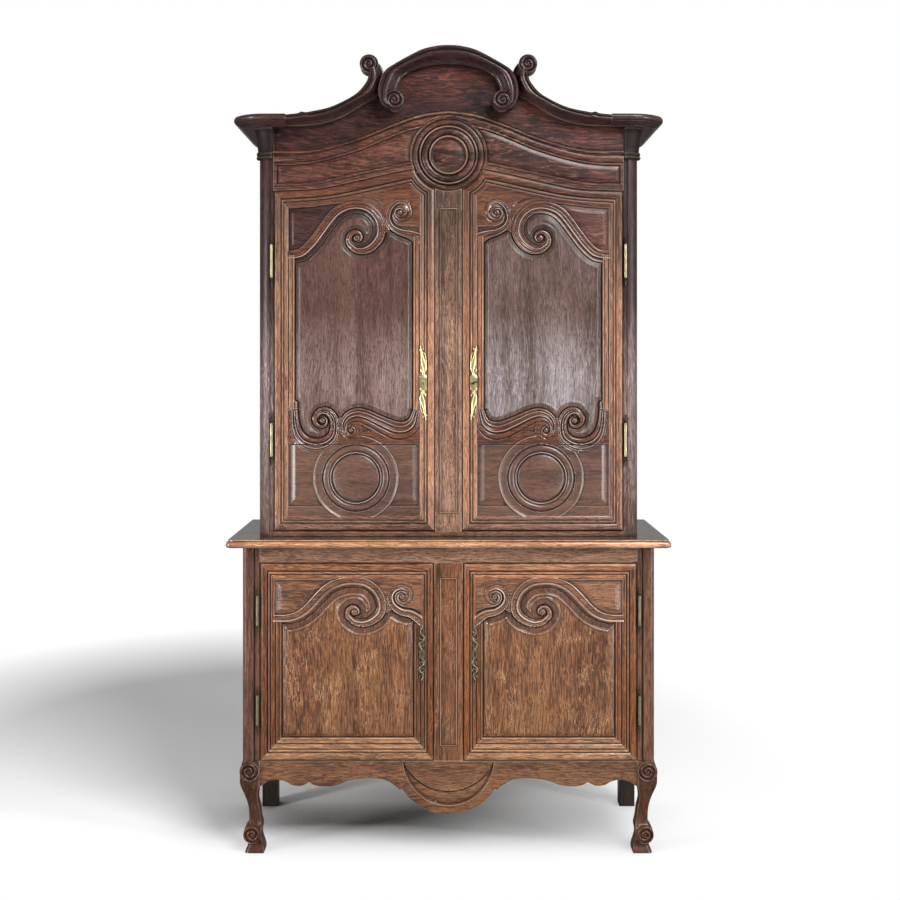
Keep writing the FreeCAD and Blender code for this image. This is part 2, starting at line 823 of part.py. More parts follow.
def body_plane(body, role):
    return next(plane for plane in body.Origin.OriginFeatures if plane.Role == role)


def polygon_sketch(body, name, role, corners):
    """A closed sketch whose corners, given as pairs of expressions, are bound to the sheet."""
    sketch = body.newObject("Sketcher::SketchObject", name)
    sketch.AttachmentSupport = (body_plane(body, role), "")
    sketch.MapMode = "FlatFace"
    points = [Vector(size(x), size(y), 0) for x, y in corners]
    for start, end in zip(points, points[1:] + points[:1]):
        sketch.addGeometry(Part.LineSegment(start, end), False)
    count = len(points)
    for i in range(count):
        sketch.addConstraint(Sketcher.Constraint("Coincident", i, 2, (i + 1) % count, 1))
    for i, (pair_of, point) in enumerate(zip(corners, points)):
        for kind, text, value in zip(("DistanceX", "DistanceY"), pair_of, (point.x, point.y)):
            index = sketch.addConstraint(Sketcher.Constraint(kind, -1, 1, i, 1, value))
            sketch.setExpression(f"Constraints[{index}]", bound(text))
    return sketch


def counter():
    """The counter: one slab with rounded front corners and a round nose on its front and sides."""
    body = doc.addObject("PartDesign::Body", "counter_body")
    half = "counter_width / 2"
    corners = [(f"-{half}", "-back"), (half, "-back"), (half, "back"), (f"-{half}", "back")]
    pad = body.newObject("PartDesign::Pad", "counter_pad")
    pad.Profile = polygon_sketch(body, "counter_plan", "XY_Plane", corners)
    pad.setExpression("Length", bound("counter_thickness"))
    front = size("-back")
    upright = edges_where(pad, lambda middle, edge: abs(middle.y - front) < 1 and edge.Length < FAR)
    plan = body.newObject("PartDesign::Fillet", "counter_corners")
    plan.Base = (pad, [f"Edge{i}" for i in upright])
    plan.setExpression("Radius", bound("counter_corner"))
    rear_edge = size("back")

    def on_nose(middle, edge):
        """A level edge of the front or the sides."""
        return middle.y < rear_edge - 1 and abs(edge.tangentAt(edge.FirstParameter).z) < 0.5

    nose = edges_where(plan, on_nose)
    noses = body.newObject("PartDesign::Fillet", "counter_nose")
    noses.Base = (plan, [f"Edge{i}" for i in nose])
    noses.setExpression("Radius", bound("counter_round"))
    body.setExpression("Placement.Base.z", bound("base_top"))

    places = {
        "front": ("upper_half - upper_post / 2", "upper_front + post_depth / 2"),
        "rear": ("upper_half - upper_post / 2", "back - upper_post / 2"),
    }
    holes, pegs = [], []
    for place, (x, y) in places.items():
        for side_name, sign in (("left", "-"), ("right", "")):
            low = "counter_height - peg_seat"
            seat = f"{side_name}_{place}"
            across = f"{sign}({x})"
            holes.append(rod(f"peg_seat_{seat}", "peg_radius + pin_clearance", across, y, low, "peg_seat * 2"))
            pegs.append(rod(f"peg_{seat}", "peg_radius", across, y, low, "peg_seat + peg_rise"))
    node("counter_top", cut("counter_top", body, *holes))
    node("locating_pegs", group("locating_pegs", *pegs))


# Upper cabinet


def rounded_post(name, spread):
    """The left front post, its outer front corner rounded, all faces moved out by spread."""
    blank = bar(
        f"{name}_square", wider(left("upper_inner", "upper_half"), spread),
        wider(("upper_front", "upper_front + post_depth"), spread), ("upper_foot", "upper_top"),
    )
    corner = Vector(size(f"-(upper_half + {spread})"), size(f"upper_front - ({spread})"), 0)

    def at_corner(middle, edge):
        return abs(middle.x - corner.x) < 0.01 and abs(middle.y - corner.y) < 0.01

    radius = size(f"upper_round + {spread}")
    edges = edges_where(blank, at_corner)
    post = doc.addObject("Part::Fillet", name)
    post.Base = blank
    post.Edges = [(i, radius, radius) for i in edges]
    return post


def upper_front_posts(groove, slots):
    hole = peg_hole("front", "upper_half - upper_post / 2", "upper_front + post_depth / 2")
    blank = rounded_post("upper_post_blank", "0")
    made = cut("upper_front_post", blank, strip_cut("upper"), groove, hole, *slots)
    node("upper_left_front_post", made)
    node("upper_right_front_post", mirror("upper_front_post_right", made))


def capitals():
    """Turned capitals that clasp the rounded corners of the posts under the cornice."""
    body = doc.addObject("PartDesign::Body", "capital_body")
    low = "upper_top - capital_height"
    neck = f"{low} + collar_height"
    corners = [
        ("0", low), ("collar_radius", low), ("collar_radius", neck), ("capital_neck", neck),
        ("capital_neck", f"{neck} + collar_height / 2"), ("capital_spread", "upper_top"), ("0", "upper_top"),
    ]
    sketch = polygon_sketch(body, "capital_profile", "XZ_Plane", corners)
    turned = body.newObject("PartDesign::Revolution", "capital_turned")
    turned.Profile = sketch
    turned.ReferenceAxis = (sketch, ["V_Axis"])
    turned.Angle = 360
    body.setExpression("Placement.Base.x", bound("-(upper_half - upper_round)"))
    body.setExpression("Placement.Base.y", bound("upper_front + upper_round"))
    clasp = bar(
        "capital_clasp", left("upper_half - upper_round - capital_return", f"upper_half + {FAR}"),
        (f"upper_front - {FAR}", "upper_front + upper_round + capital_return"), (low, "upper_top"),
    )
    made = cut("capital", common("capital_outside", body, clasp), rounded_post("capital_core", "joint_gap"))
    node("capitals", pair("capitals", made))


def swan_run(points):
    stem = size("stem_out")
    run = size("cornice_joint") - stem
    return [(-(stem + share * run), size("upper_top") + up) for share, up in points]


def arch_points():
    """The arch's outer and inner edges and its stem, on the left, from the middle outwards."""
    stem = size("stem_out")
    top = size("upper_top + arch_rise")
    band = size("arch_band")
    outside = [(-share * stem, top - depth) for share, depth in ARCH_OUTSIDE]
    inside = [(-share * stem, top - band - depth) for share, depth in ARCH_INSIDE]
    return outside, inside, [(-share * stem, top - depth) for share, depth in STEM_EDGE]


def frieze():
    """The shaped board over the doors, which carries the medallion and the cornice mouldings."""
    inner = size("upper_inner")
    bottom = head_run(0)
    swan = swan_run(SWAN_LOW)
    cover = size("frieze_cover")
    over = [(-inner, swan[0][1] + cover)] + [(x, z + cover) for x, z in swan]
    inside = arch_points()[1]
    crown = [(x, z + cover) for x, z in reversed(inside[:4])]
    half = [bottom[::-1], [bottom[0], over[0]], over, [over[-1], crown[0]], crown]
    runs = half + [flipped(run) for run in reversed(half)]
    runs.append([(-bottom[-1][0], bottom[-1][1]), bottom[-1]])
    front = size("upper_front")
    back = front + size("front_thickness")
    centre = size("medallion_height")
    radius = size("medallion_radius")
    rise = size("medallion_rise")
    ring = size("medallion_ring")
    board = sawn(runs, front, back).fuse(disc(0, centre, radius, front, back))
    board = board.fuse(disc(0, centre, ring, front - rise, front))
    node("frieze_board", feature("frieze_board", board.removeSplitter()))


def upper_fixed_front():
    depth = ("upper_front", "upper_front + front_thickness")
    rail = bar("upper_bottom_rail", ("-upper_inner", "upper_inner"), depth, ("counter_height", "upper_floor"))
    node("upper_bottom_rail", rail)
    blank = bar(
        "upper_stile_blank", ("-upper_stile / 2", "upper_stile / 2"), depth, ("upper_floor", "medallion_height")
    )
    round_end = rod(
        "upper_stile_end", "medallion_radius + joint_gap", "0", f"upper_front - {FAR}", "medallion_height",
        f"{FAR} * 2", "y",
    )
    node("upper_centre_stile", cut("upper_centre_stile", blank, round_end))


def upper_inside():
    behind = "upper_front + front_thickness"
    reach = "upper_inner - joint_gap"
    y = wider((behind, "back - back_board - back_rail_thickness"), "-joint_gap")
    spans = {"x": (f"-({reach})", reach), "y": y, "z": ("counter_height", "upper_floor")}
    node("upper_floor", group("upper_floor", *boards("upper_floor_board", FLOOR_BOARDS, "y", spans)))
    roof, roof_bearers = inside_boards("upper", "roof", FLOOR_BOARDS, "upper_top", "floor_board", behind)
    node("upper_roof", group("upper_roof", *roof))
    shelves, bearers = [], [roof_bearers]
    for place in ("low", "high"):
        shelf, shelf_bearers = inside_boards(
            "upper", f"shelf_{place}", SHELF_BOARDS, f"upper_shelf_{place} + shelf_board", "shelf_board",
            "upper_front + post_depth",
        )
        shelves += shelf
        bearers.append(shelf_bearers)
    node("upper_shelves", group("upper_shelves", *shelves))
    node("upper_bearers", group("upper_bearers", *bearers))


# Cornice


def cornice_slab(inset, low, high):
    """One layer of the left cornice end: over the post, round the corner and along the side."""
    front = size("cornice_face") + inset
    outer = -size("upper_half + cornice_side") + inset
    joint = -size("cornice_joint")
    corner = size("cornice_corner") - inset
    board = size("upper_front")
    inner = -size("upper_inner + joint_gap")
    back = size("back")
    diagonal = corner * (1 - math.sqrt(0.5))
    bend = Part.Arc(
        Vector(outer + corner, front, low), Vector(outer + diagonal, front + diagonal, low),
        Vector(outer, front + corner, low),
    )
    rest = [
        (outer, front + corner), (outer, back), (inner, back), (inner, board), (joint, board), (joint, front),
        (outer + corner, front),
    ]
    points = [Vector(x, y, low) for x, y in rest]
    edges = [bend.toShape()]
    edges += [Part.LineSegment(a, b).toShape() for a, b in zip(points, points[1:])]
    return Part.Face(Part.Wire(edges)).extrude(Vector(0, 0, high - low))


def cornice_ends():
    low = size("upper_top")
    step = low + size("cornice_step_height")
    high = low + size("cornice_height")
    lower = cornice_slab(size("cornice_step"), low, step)
    upper = cornice_slab(0, step, high)
    made = feature("cornice_end", lower.fuse(upper).removeSplitter())
    node("cornice_left_end", made)
    node("cornice_right_end", mirror("cornice_end_right", made))


def swan_necks():
    """Swan necks that climb from the cornice ends and turn outwards in a volute."""
    front = size("cornice_face")
    back = size("upper_front")
    gap = size("joint_gap")
    top = swan_run(SWAN_TOP)
    low = swan_run(SWAN_LOW)
    centre = (-size("volute_out"), size("upper_top + volute_rise"))
    radius = size("volute_radius")
    stem = (-size("stem_out") - gap, centre[1])
    start = (-size("cornice_joint") + gap, top[0][1])
    foot = (start[0], low[0][1])
    upper_edge = [start] + top[1:] + [centre]
    lower_edge = [foot] + low[1:-1] + [(stem[0], low[-1][1])]
    runs = [lower_edge[::-1], [foot, start], upper_edge, [centre, stem], [stem, lower_edge[-1]]]
    neck = sawn(runs, front, back).fuse(disc(centre[0], centre[1], radius, front, back))
    made = feature("cornice_swan_neck", neck.removeSplitter())
    node("cornice_left_swan_neck", made)
    node("cornice_right_swan_neck", mirror("cornice_swan_neck_right", made))


def arch():
    """The arch in the middle of the cornice, which ends in a scroll at each foot."""
    outside, inside, stem = arch_points()
    front = size("cornice_face")
    back = size("upper_front")
    scroll = (-size("scroll_out"), size("upper_top + scroll_rise"))
    half = [
        outside, [outside[-1], stem[0]], stem, [stem[-1], scroll], [scroll, inside[-1]], inside[::-1],
    ]
    left_half = sawn(half + [[inside[0], outside[0]]], front, back)
    left_half = left_half.fuse(disc(scroll[0], scroll[1], size("volute_radius"), front, back))
    right_half = left_half.mirror(Vector(0, 0, 0), Vector(1, 0, 0))
    node("cornice_arch", feature("cornice_arch", left_half.fuse(right_half).removeSplitter()))


def build():
    for level in ("base", "upper"):
        slots = door(level)
        groove = side(level)
        rear(level, groove)
        if level == "base":
            base_front_posts(groove, slots)
        else:
            upper_front_posts(groove, slots)
    base_apron()
    base_fixed_front()
    base_inside()
    counter()
    capitals()
    frieze()
    upper_fixed_front()
    upper_inside()
    cornice_ends()
    swan_necks()
    arch()
    key()


build()
doc.recompute()
for item in doc.Objects:
    if "Invalid" in item.State or "Error" in item.State:
        raise RuntimeError(f"{item.Name} failed: {item.State}")
for item in nodes:
    if item.Shape.isNull() or not item.Shape.isValid():
        raise RuntimeError(f"{item.Label} has no valid shape")
os.makedirs("parts", exist_ok=True)
for item in nodes:
    item.Shape.exportStep(os.path.join("parts", f"{item.Label}.step"))
    print(item.Label, len(item.Shape.Solids), round(item.Shape.Volume / 1000, 1))
print(len(nodes), "sub-parts")
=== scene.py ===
"""Looks of a two-piece carved oak buffet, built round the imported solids.

Shapes are worked out in millimetres in the part's own frame (X right, front faces -Y, Z up) and become
metres when a mesh is made. Left-hand pieces are drawn first and mirrored in X."""
import math

import bmesh
import bpy
import numpy as np
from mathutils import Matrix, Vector


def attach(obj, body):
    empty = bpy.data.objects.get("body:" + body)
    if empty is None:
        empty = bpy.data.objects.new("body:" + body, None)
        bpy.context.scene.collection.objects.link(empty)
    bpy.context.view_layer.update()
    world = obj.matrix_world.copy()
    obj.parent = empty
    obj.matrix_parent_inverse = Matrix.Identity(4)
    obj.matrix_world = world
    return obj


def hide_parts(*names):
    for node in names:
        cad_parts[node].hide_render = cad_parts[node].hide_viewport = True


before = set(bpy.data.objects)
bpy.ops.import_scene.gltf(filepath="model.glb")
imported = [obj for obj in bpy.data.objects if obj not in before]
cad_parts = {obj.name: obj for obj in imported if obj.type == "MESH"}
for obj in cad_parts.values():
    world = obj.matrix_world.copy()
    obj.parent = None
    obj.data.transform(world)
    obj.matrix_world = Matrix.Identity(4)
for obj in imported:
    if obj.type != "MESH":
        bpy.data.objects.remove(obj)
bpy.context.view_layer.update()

MM = 0.001
SIDES = ("left", "right")
# How far forward or back the doors' faces, the cabinets' fronts, the cornice's face and the back lie
BASE_FACE = -232.0
UPPER_FACE = -187.0
BASE_FRONT = -229.0
UPPER_FRONT = -184.0
CORNICE_FACE = -246.0
BACK = 271.0
# Thickness of a board and of a carved panel, and depth of the carved rails behind a door's face
BOARD = 28.0
CARVED_BOARD = 22.0
RAIL_DEPTH = 4.0
# Centre and radius of the medallion on the frieze
MEDALLION = (0.0, 2104.0)
MEDALLION_RADIUS = 110.0
# Sight edge of the left upper door: its sides, foot and shoulder, and the radius of the circle over it
SIGHT_LEFT = -485.0
SIGHT_RIGHT = -89.0
SIGHT_FOOT = 1012.0
SIGHT_SHOULDER = -117.0
SIGHT_RADIUS = 155.0
# Sight edge of the left base door
BASE_LEFT = -519.0
BASE_RIGHT = -85.0
BASE_FOOT = 331.0
BASE_TOP = 823.0
# Area in square metres above which a face counts as broad
BROAD = 0.004
# Angles in degrees above which the edges of plain and of carved pieces are sharp
PLAIN = 32
CARVED = 40

# Curves


def spline(points, step=2.0):
    """A smooth curve through the points, as points about a step apart."""
    p = np.asarray(points, float)
    p = np.vstack([2 * p[0] - p[1], p, 2 * p[-1] - p[-2]])
    runs = []
    for i in range(1, len(p) - 2):
        a, b, c, d = p[i - 1:i + 3]
        count = max(2, int(np.linalg.norm(c - b) / step) + 1)
        t = np.linspace(0, 1, count, endpoint=False)[:, None]
        square = 2 * a - 5 * b + 4 * c - d
        cubic = 3 * b - a - 3 * c + d
        runs.append(0.5 * (2 * b + (c - a) * t + square * t**2 + cubic * t**3))
    return np.vstack(runs + [p[-2][None]])


def spread(points, count):
    """The same curve as a given number of evenly spaced points."""
    p = np.asarray(points, float)
    along = np.r_[0, np.cumsum(np.linalg.norm(np.diff(p, axis=0), axis=1))]
    at = np.linspace(0, along[-1], count)
    return np.stack([np.interp(at, along, p[:, k]) for k in range(p.shape[1])], axis=1)


def curl(centre, start, turns, shrink, way):
    """A spiral from start towards the centre: way 1 is anticlockwise, shrink acts per quarter turn."""
    centre = np.asarray(centre, float)
    arm = np.asarray(start, float) - centre
    quarters = np.linspace(0, turns * 4, int(turns * 40))
    radius = np.hypot(*arm) * shrink**quarters
    angle = math.atan2(arm[1], arm[0]) + way * quarters * math.pi / 2
    return centre + np.stack([radius * np.cos(angle), radius * np.sin(angle)], axis=1)


def arc(low, high, ground, height, count=9):
    """Points of a round moulding between two places, standing up from the ground."""
    a = np.linspace(0, math.pi, count)
    middle, half = (low + high) / 2, (high - low) / 2
    return [(middle - half * math.cos(t), ground - height * math.sin(t)) for t in a]


def profile_at(value, profile):
    """Depth at a value, from a profile of places with their depths."""
    places, depths = zip(*profile)
    return np.interp(value, places, depths)


def smooth(value, low, high):
    """A soft step from 0 to 1 between two values."""
    t = np.clip((value - low) / (high - low), 0, 1)
    return t * t * (3 - 2 * t)


# Joint of the frieze with the left upper door, and that door's upper sight edge
HEAD = spline(
    [(-530.5, 1996), (-393.7, 2002.8), (-278.3, 2025.9), (-180, 2048.4), (-103, 2064), (-80, 2068)]
)
SIGHT = spline([(-500, 1942), (-485, 1943), (-347, 1956), (-232, 1977), (-117, 2003), (-80, 2012)])


def head(x):
    """Height of the curve between the frieze and the left door's head."""
    return np.interp(x, HEAD[:, 0], HEAD[:, 1])


def below_circle(x, radius):
    """Height of the lower half of a circle round the medallion's centre."""
    return MEDALLION[1] - np.sqrt(np.maximum(radius**2 - np.asarray(x, float)**2, 0))


def sight_top(x):
    """Upper sight edge of the left upper door."""
    return np.minimum(np.interp(x, SIGHT[:, 0], SIGHT[:, 1]), below_circle(x, SIGHT_RADIUS))


# Meshes: a shell is its points, its faces and the material of each face


def loft(rings, closed=False, marks=0):
    """A skin over equal closed rings along a path, with flat ends or joined end to end."""
    rings = np.asarray(rings, float)
    count, size = rings.shape[:2]
    index = np.arange(count * size).reshape(count, size)
    here, ahead = (index, np.roll(index, -1, axis=0)) if closed else (index[:-1], index[1:])
    quads = np.stack([here, np.roll(here, -1, axis=1), np.roll(ahead, -1, axis=1), ahead], axis=-1)
    faces = quads.reshape(-1, 4).tolist()
    faces_mark = np.repeat(np.broadcast_to(marks, len(here)), size).tolist()
    if not closed:
        faces += [index[0].tolist()[::-1], index[-1].tolist()]
        faces_mark += [faces_mark[0], faces_mark[-1]]
    return rings.reshape(-1, 3), faces, faces_mark


def slab(x, z, front, back, marks=0, rear=0):
    """A board with a depth of its own at each point of its front, plain edges and a flat back."""
    n, m = x.shape
    index = np.arange(n * m).reshape(n, m)
    quads = np.stack([index[:-1, :-1], index[1:, :-1], index[1:, 1:], index[:-1, 1:]], axis=-1)
    rim = np.r_[index[:, 0], index[-1, 1:], index[-2::-1, -1], index[0, -2:0:-1]]
    points = np.stack([x, front, z], axis=-1).reshape(-1, 3)
    behind = points[rim].copy()
    behind[:, 1] = back
    ring = np.arange(len(rim)) + n * m
    walls = np.stack([rim, ring, np.roll(ring, -1), np.roll(rim, -1)], axis=-1)
    faces = quads.reshape(-1, 4).tolist() + walls.tolist() + [ring[::-1].tolist()]
    faces_mark = np.broadcast_to(marks, (n - 1, m - 1)).ravel().tolist()
    return np.vstack([points, behind]), faces, faces_mark + [rear] * (len(rim) + 1)


def turned(x, y, heights, marks, sides=20):
    """A turned shape about an upright axis from pairs of height and radius."""
    angle = np.linspace(0, 2 * math.pi, sides, endpoint=False)
    circle = np.stack([np.cos(angle), np.sin(angle), np.zeros(sides)], axis=1)
    return loft([circle * radius + (x, y, z) for z, radius in heights], marks=marks)


def block(low, high, r):
    """A squared timber or plate with eased long edges."""
    (x0, y0, z0), (x1, y1, z1) = low, high
    plan = [(x0 + r, y0), (x1 - r, y0), (x1, y0 + r), (x1, y1 - r)]
    plan += [(x1 - r, y1), (x0 + r, y1), (x0, y1 - r), (x0, y0 + r)]
    middle = np.array([(x0 + x1) / 2, (y0 + y1) / 2])
    inner = [tuple(middle + (np.array(p) - middle) * (1 - r / max(x1 - x0, y1 - y0))) for p in plan]
    rings = [(inner, z0), (plan, z0 + r), (plan, z1 - r), (inner, z1)]
    return loft([[(px, py, z) for px, py in ring] for ring, z in rings])


def mirrored(shells):
    """The same shells on the other side of the middle."""
    return [(points * (-1, 1, 1), faces, marks) for points, faces, marks in shells]


def on_side(shells, side):
    """Shells drawn on the left, for either side."""
    return mirrored(shells) if side == "right" else shells


def read(items, name, width=1, kind=float):
    """One value, or a row of them, of each item of a mesh."""
    values = np.zeros(len(items) * width, kind)
    items.foreach_get(name, values)
    return values.reshape(-1, width) if width > 1 else values


def relief_of(mesh):
    """How hollow each point is, from -1 on an edge to 1 in a groove; points of broad faces count as 0."""
    count = len(mesh.vertices)
    places = read(mesh.vertices, "co", 3) / MM
    normals = read(mesh.vertices, "normal", 3)
    ends = read(mesh.edges, "vertices", 2, int)
    a, b = ends[:, 0], ends[:, 1]
    number = np.bincount(ends.ravel(), minlength=count).clip(1)
    way = places[b] - places[a]
    way /= np.linalg.norm(way, axis=1)[:, None].clip(1e-6)
    rise, fall = (way * normals[a]).sum(1), (way * normals[b]).sum(1)
    hollow = (np.bincount(a, rise, count) - np.bincount(b, fall, count)) / number
    near = (np.bincount(a, hollow[b], count) + np.bincount(b, hollow[a], count)) / number
    widest = np.zeros(count)
    areas = np.repeat(read(mesh.polygons, "area"), read(mesh.polygons, "loop_total", 1, int))
    np.maximum.at(widest, read(mesh.loops, "vertex_index", 1, int), areas)
    return np.where(widest > BROAD, 0, np.clip(0.6 * hollow + 0.4 * near, -1, 1))


def add_object(name, data):
    """A new object in the scene."""
    thing = bpy.data.objects.new(name, data)
    bpy.context.scene.collection.objects.link(thing)
    return thing


def make(name, shells, materials, body, nodes, angle=PLAIN):
    """A piece of the object from its shells, riding on a body and standing for CAD nodes."""
    points, faces, marks, start = [], [], [], 0
    for shell_points, shell_faces, shell_marks in shells:
        points.append(shell_points)
        faces += [[i + start for i in face] for face in shell_faces]
        marks += shell_marks
        start += len(shell_points)
    mesh = bpy.data.meshes.new(name)
    mesh.from_pydata((np.vstack(points) * MM).tolist(), [], faces)
    mesh.polygons.foreach_set("material_index", np.asarray(marks, np.int32))
    work = bmesh.new()
    work.from_mesh(mesh)
    bmesh.ops.recalc_face_normals(work, faces=work.faces)
    work.to_mesh(mesh)
    work.free()
    mesh.polygons.foreach_set("use_smooth", np.ones(len(mesh.polygons), bool))
    mesh.set_sharp_from_angle(angle=math.radians(angle))
    relief = mesh.attributes.new("relief", "FLOAT", "POINT")
    relief.data.foreach_set("value", relief_of(mesh).astype(np.float32))
    for material in materials:
        mesh.materials.append(material)
    piece = add_object(name, mesh)
    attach(piece, body)
    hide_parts(*nodes)


# Materials


def colour(text):
    """A colour written as in a web page, for a shader."""
    parts = [int(text[i:i + 2], 16) / 255 for i in (0, 2, 4)]
    return (*[c / 12.92 if c <= 0.04045 else ((c + 0.055) / 1.055)**2.4 for c in parts], 1.0)


class Tree:
    """Adds nodes to a material or a world, linking those inputs that are given as sockets."""

    def __init__(self, owner):
        self.owner = owner
        owner.use_nodes = True
        self.tree = owner.node_tree
        self.tree.nodes.clear()

    def add(self, kind, inputs, **settings):
        node = self.tree.nodes.new(kind)
        for key, value in settings.items():
            setattr(node, key, value)
        for key, value in inputs.items():
            if isinstance(value, bpy.types.NodeSocket):
                self.tree.links.new(value, node.inputs[key])
            else:
                node.inputs[key].default_value = value
        return node

    def noise(self, vector, scale, detail=3.0, roughness=0.55, distortion=0.0):
        inputs = {"Vector": vector, "Scale": scale, "Detail": detail}
        inputs |= {"Roughness": roughness, "Distortion": distortion}
        return self.add("ShaderNodeTexNoise", inputs).outputs[0]

    def remap(self, value, low, high, to_low=0.0, to_high=1.0):
        inputs = {0: value, 1: low, 2: high, 3: to_low, 4: to_high}
        return self.add("ShaderNodeMapRange", inputs).outputs[0]

    def math(self, how, a, b):
        return self.add("ShaderNodeMath", {0: a, 1: b}, operation=how).outputs[0]

    def mix(self, factor, a, b, how="MIX"):
        node = self.add("ShaderNodeMix", {0: factor, 6: a, 7: b}, data_type="RGBA", blend_type=how)
        return node.outputs[2]

    def scaled(self, vector, by):
        return self.add("ShaderNodeVectorMath", {0: vector, 1: by}, operation="MULTIPLY").outputs[0]

    def finish(self, shader):
        kind = "World" if isinstance(self.owner, bpy.types.World) else "Material"
        output = self.tree.nodes.new(f"ShaderNodeOutput{kind}")
        self.tree.links.new(shader.outputs[0], output.inputs["Surface"])
        return self.owner


# Detail of the wood per metre, along and across its grain
FIGURE = (1.1, 26.0)
STREAK = (3.5, 180.0)
FIBRE = (20.0, 420.0)
PORES = (65.0, 740.0)
PATCH = (1.3, 5.0)
RAY = (26.0, 190.0)
RAY_PLACE = (9.0, 18.0)
CLOUD = (3.0, 9.0)
EMBER = (22.0, 120.0)
# Colours of the rays, of painted shade in the wood's hollows, and of dirt in metal corners and of metal
# grooves
GLINT = "d8ab80"
CREVICE_SHADE = "140b08"
GROOVE_SHADE = "170d09"
METAL_DIRT = "1d1810"
METAL_GROOVE = "2a2418"


def oak(
    name, axis, tones, rays=0.0, stain=0.0, rough=0.42, crevice_shade=0.85, wear_and_highlight=0.35, fades=(), grain=0.55,
    wax=0.9, satin=0.18, crest="c0a48c",
):
    """Waxed oak with its grain along an axis.

    The tones are dark, middle and light. A fade has an axis, a start, an end and the gain of each colour
    at its end."""
    t = Tree(bpy.data.materials.new(name))
    dark, middle, light = (colour(tone) for tone in tones)
    deep = (*[0.42 * c for c in dark[:3]], 1.0)
    place = t.add("ShaderNodeTexCoord", {}).outputs["Object"]

    def noise(vector, scales, *settings):
        by = tuple(scales[0] if k == axis else scales[1] for k in range(3))
        return t.noise(t.scaled(vector, by), 1.0, *settings)

    swirl = t.add("ShaderNodeTexNoise", {"Vector": place, "Scale": 3.0, "Detail": 2.0}).outputs[1]
    inputs = {0: swirl, 1: (0.05, 0.05, 0.05), 2: place}
    bent = t.add("ShaderNodeVectorMath", inputs, operation="MULTIPLY_ADD").outputs[0]
    figure = noise(bent, FIGURE, 4.0, 0.6, 0.5)
    streak = noise(bent, STREAK, 3.0, 0.6)
    fibre = noise(bent, FIBRE, 2.0, 0.6)
    pores = noise(bent, PORES, 1.0, 0.5)
    patch = noise(place, PATCH, 3.0, 0.55, 0.6)
    shade = t.mix(t.remap(figure, 0.34, 0.60, 0.1, 1.0), dark, middle)
    shade = t.mix(t.remap(patch, 0.46, 0.72, 0.0, 0.5), shade, light)
    shade = t.mix(t.remap(streak, 0.36, 0.50, grain * 0.5, 0.0), shade, dark)
    shade = t.mix(t.remap(streak, 0.52, 0.68, 0.0, grain * 0.5), shade, light)
    shade = t.mix(t.remap(fibre, 0.36, 0.50, grain * 1.3, 0.0), shade, deep)
    shade = t.mix(t.remap(fibre, 0.53, 0.66, 0.0, grain * 1.2), shade, light)
    pore = t.remap(pores, 0.58, 0.66)
    shade = t.mix(t.math("MULTIPLY", pore, 0.85), shade, deep)
    if rays:
        wave = noise(bent, RAY, 1.0, 0.5, 0.6)
        ridge = t.math("ABSOLUTE", t.math("SUBTRACT", wave, 0.5), 0.0)
        where = t.remap(noise(place, RAY_PLACE, 2.0), 0.47, 0.60)
        ray = t.math("MULTIPLY", t.remap(ridge, 0.0, 0.04, rays, 0.0), where)
        shade = t.mix(ray, shade, t.mix(0.5, light, colour(GLINT)))
    if stain:
        cloud = noise(place, CLOUD, 4.0, 0.6, 0.8)
        shade = t.mix(t.remap(cloud, 0.50, 0.64, 0.0, stain), shade, deep)
        ember = noise(bent, EMBER, 2.0, 0.6, 0.9)
        shade = t.mix(t.remap(ember, 0.54, 0.68, 0.0, stain * 0.8), shade, light)
    # Fades: painted light and shade along an axis, and the counter's darker lower edge and ends
    for way, low, high, gain in fades:
        spot = t.add("ShaderNodeSeparateXYZ", {0: place}).outputs[way]
        shade = t.mix(t.remap(spot, low, high), shade, (*gain, 1.0), "MULTIPLY")
    relief = t.add("ShaderNodeAttribute", {}, attribute_name="relief").outputs["Fac"]
    # Painted shade: ambient occlusion darkens the wood's colour in corners and crevices
    shut = t.add("ShaderNodeAmbientOcclusion", {"Distance": 0.014}, samples=4).outputs["AO"]
    shade = t.mix(t.remap(shut, 0.25, 0.95, crevice_shade, 0.0), shade, colour(CREVICE_SHADE))
    # Painted shade: the wood's colour darkens in grooves and hollows
    shade = t.mix(t.remap(relief, 0.05, 0.28, 0.0, 0.8), shade, colour(GROOVE_SHADE))
    # Wear and painted highlight: edges and crests are lightened towards the crest colour
    shade = t.mix(t.remap(relief, -0.10, -0.34, 0.0, wear_and_highlight), shade, t.mix(0.75, light, colour(crest)))
    gloss = t.remap(t.noise(place, 14.0, 3.0), 0.3, 0.7, rough - 0.06, rough + 0.06)
    gloss = t.math("ADD", gloss, t.math("MULTIPLY", pore, 0.12))
    height = t.math("SUBTRACT", t.math("MULTIPLY", fibre, 0.5), t.math("MULTIPLY", pore, 0.7))
    bump = t.add("ShaderNodeBump", {"Strength": 0.35, "Distance": 0.0006, "Height": height}).outputs[0]
    inputs = {"Base Color": shade, "Roughness": gloss, "Normal": bump}
    inputs |= {"Specular IOR Level": 0.2, "Coat Weight": wax, "Coat Roughness": satin}
    return t.finish(t.add("ShaderNodeBsdfPrincipled", inputs))


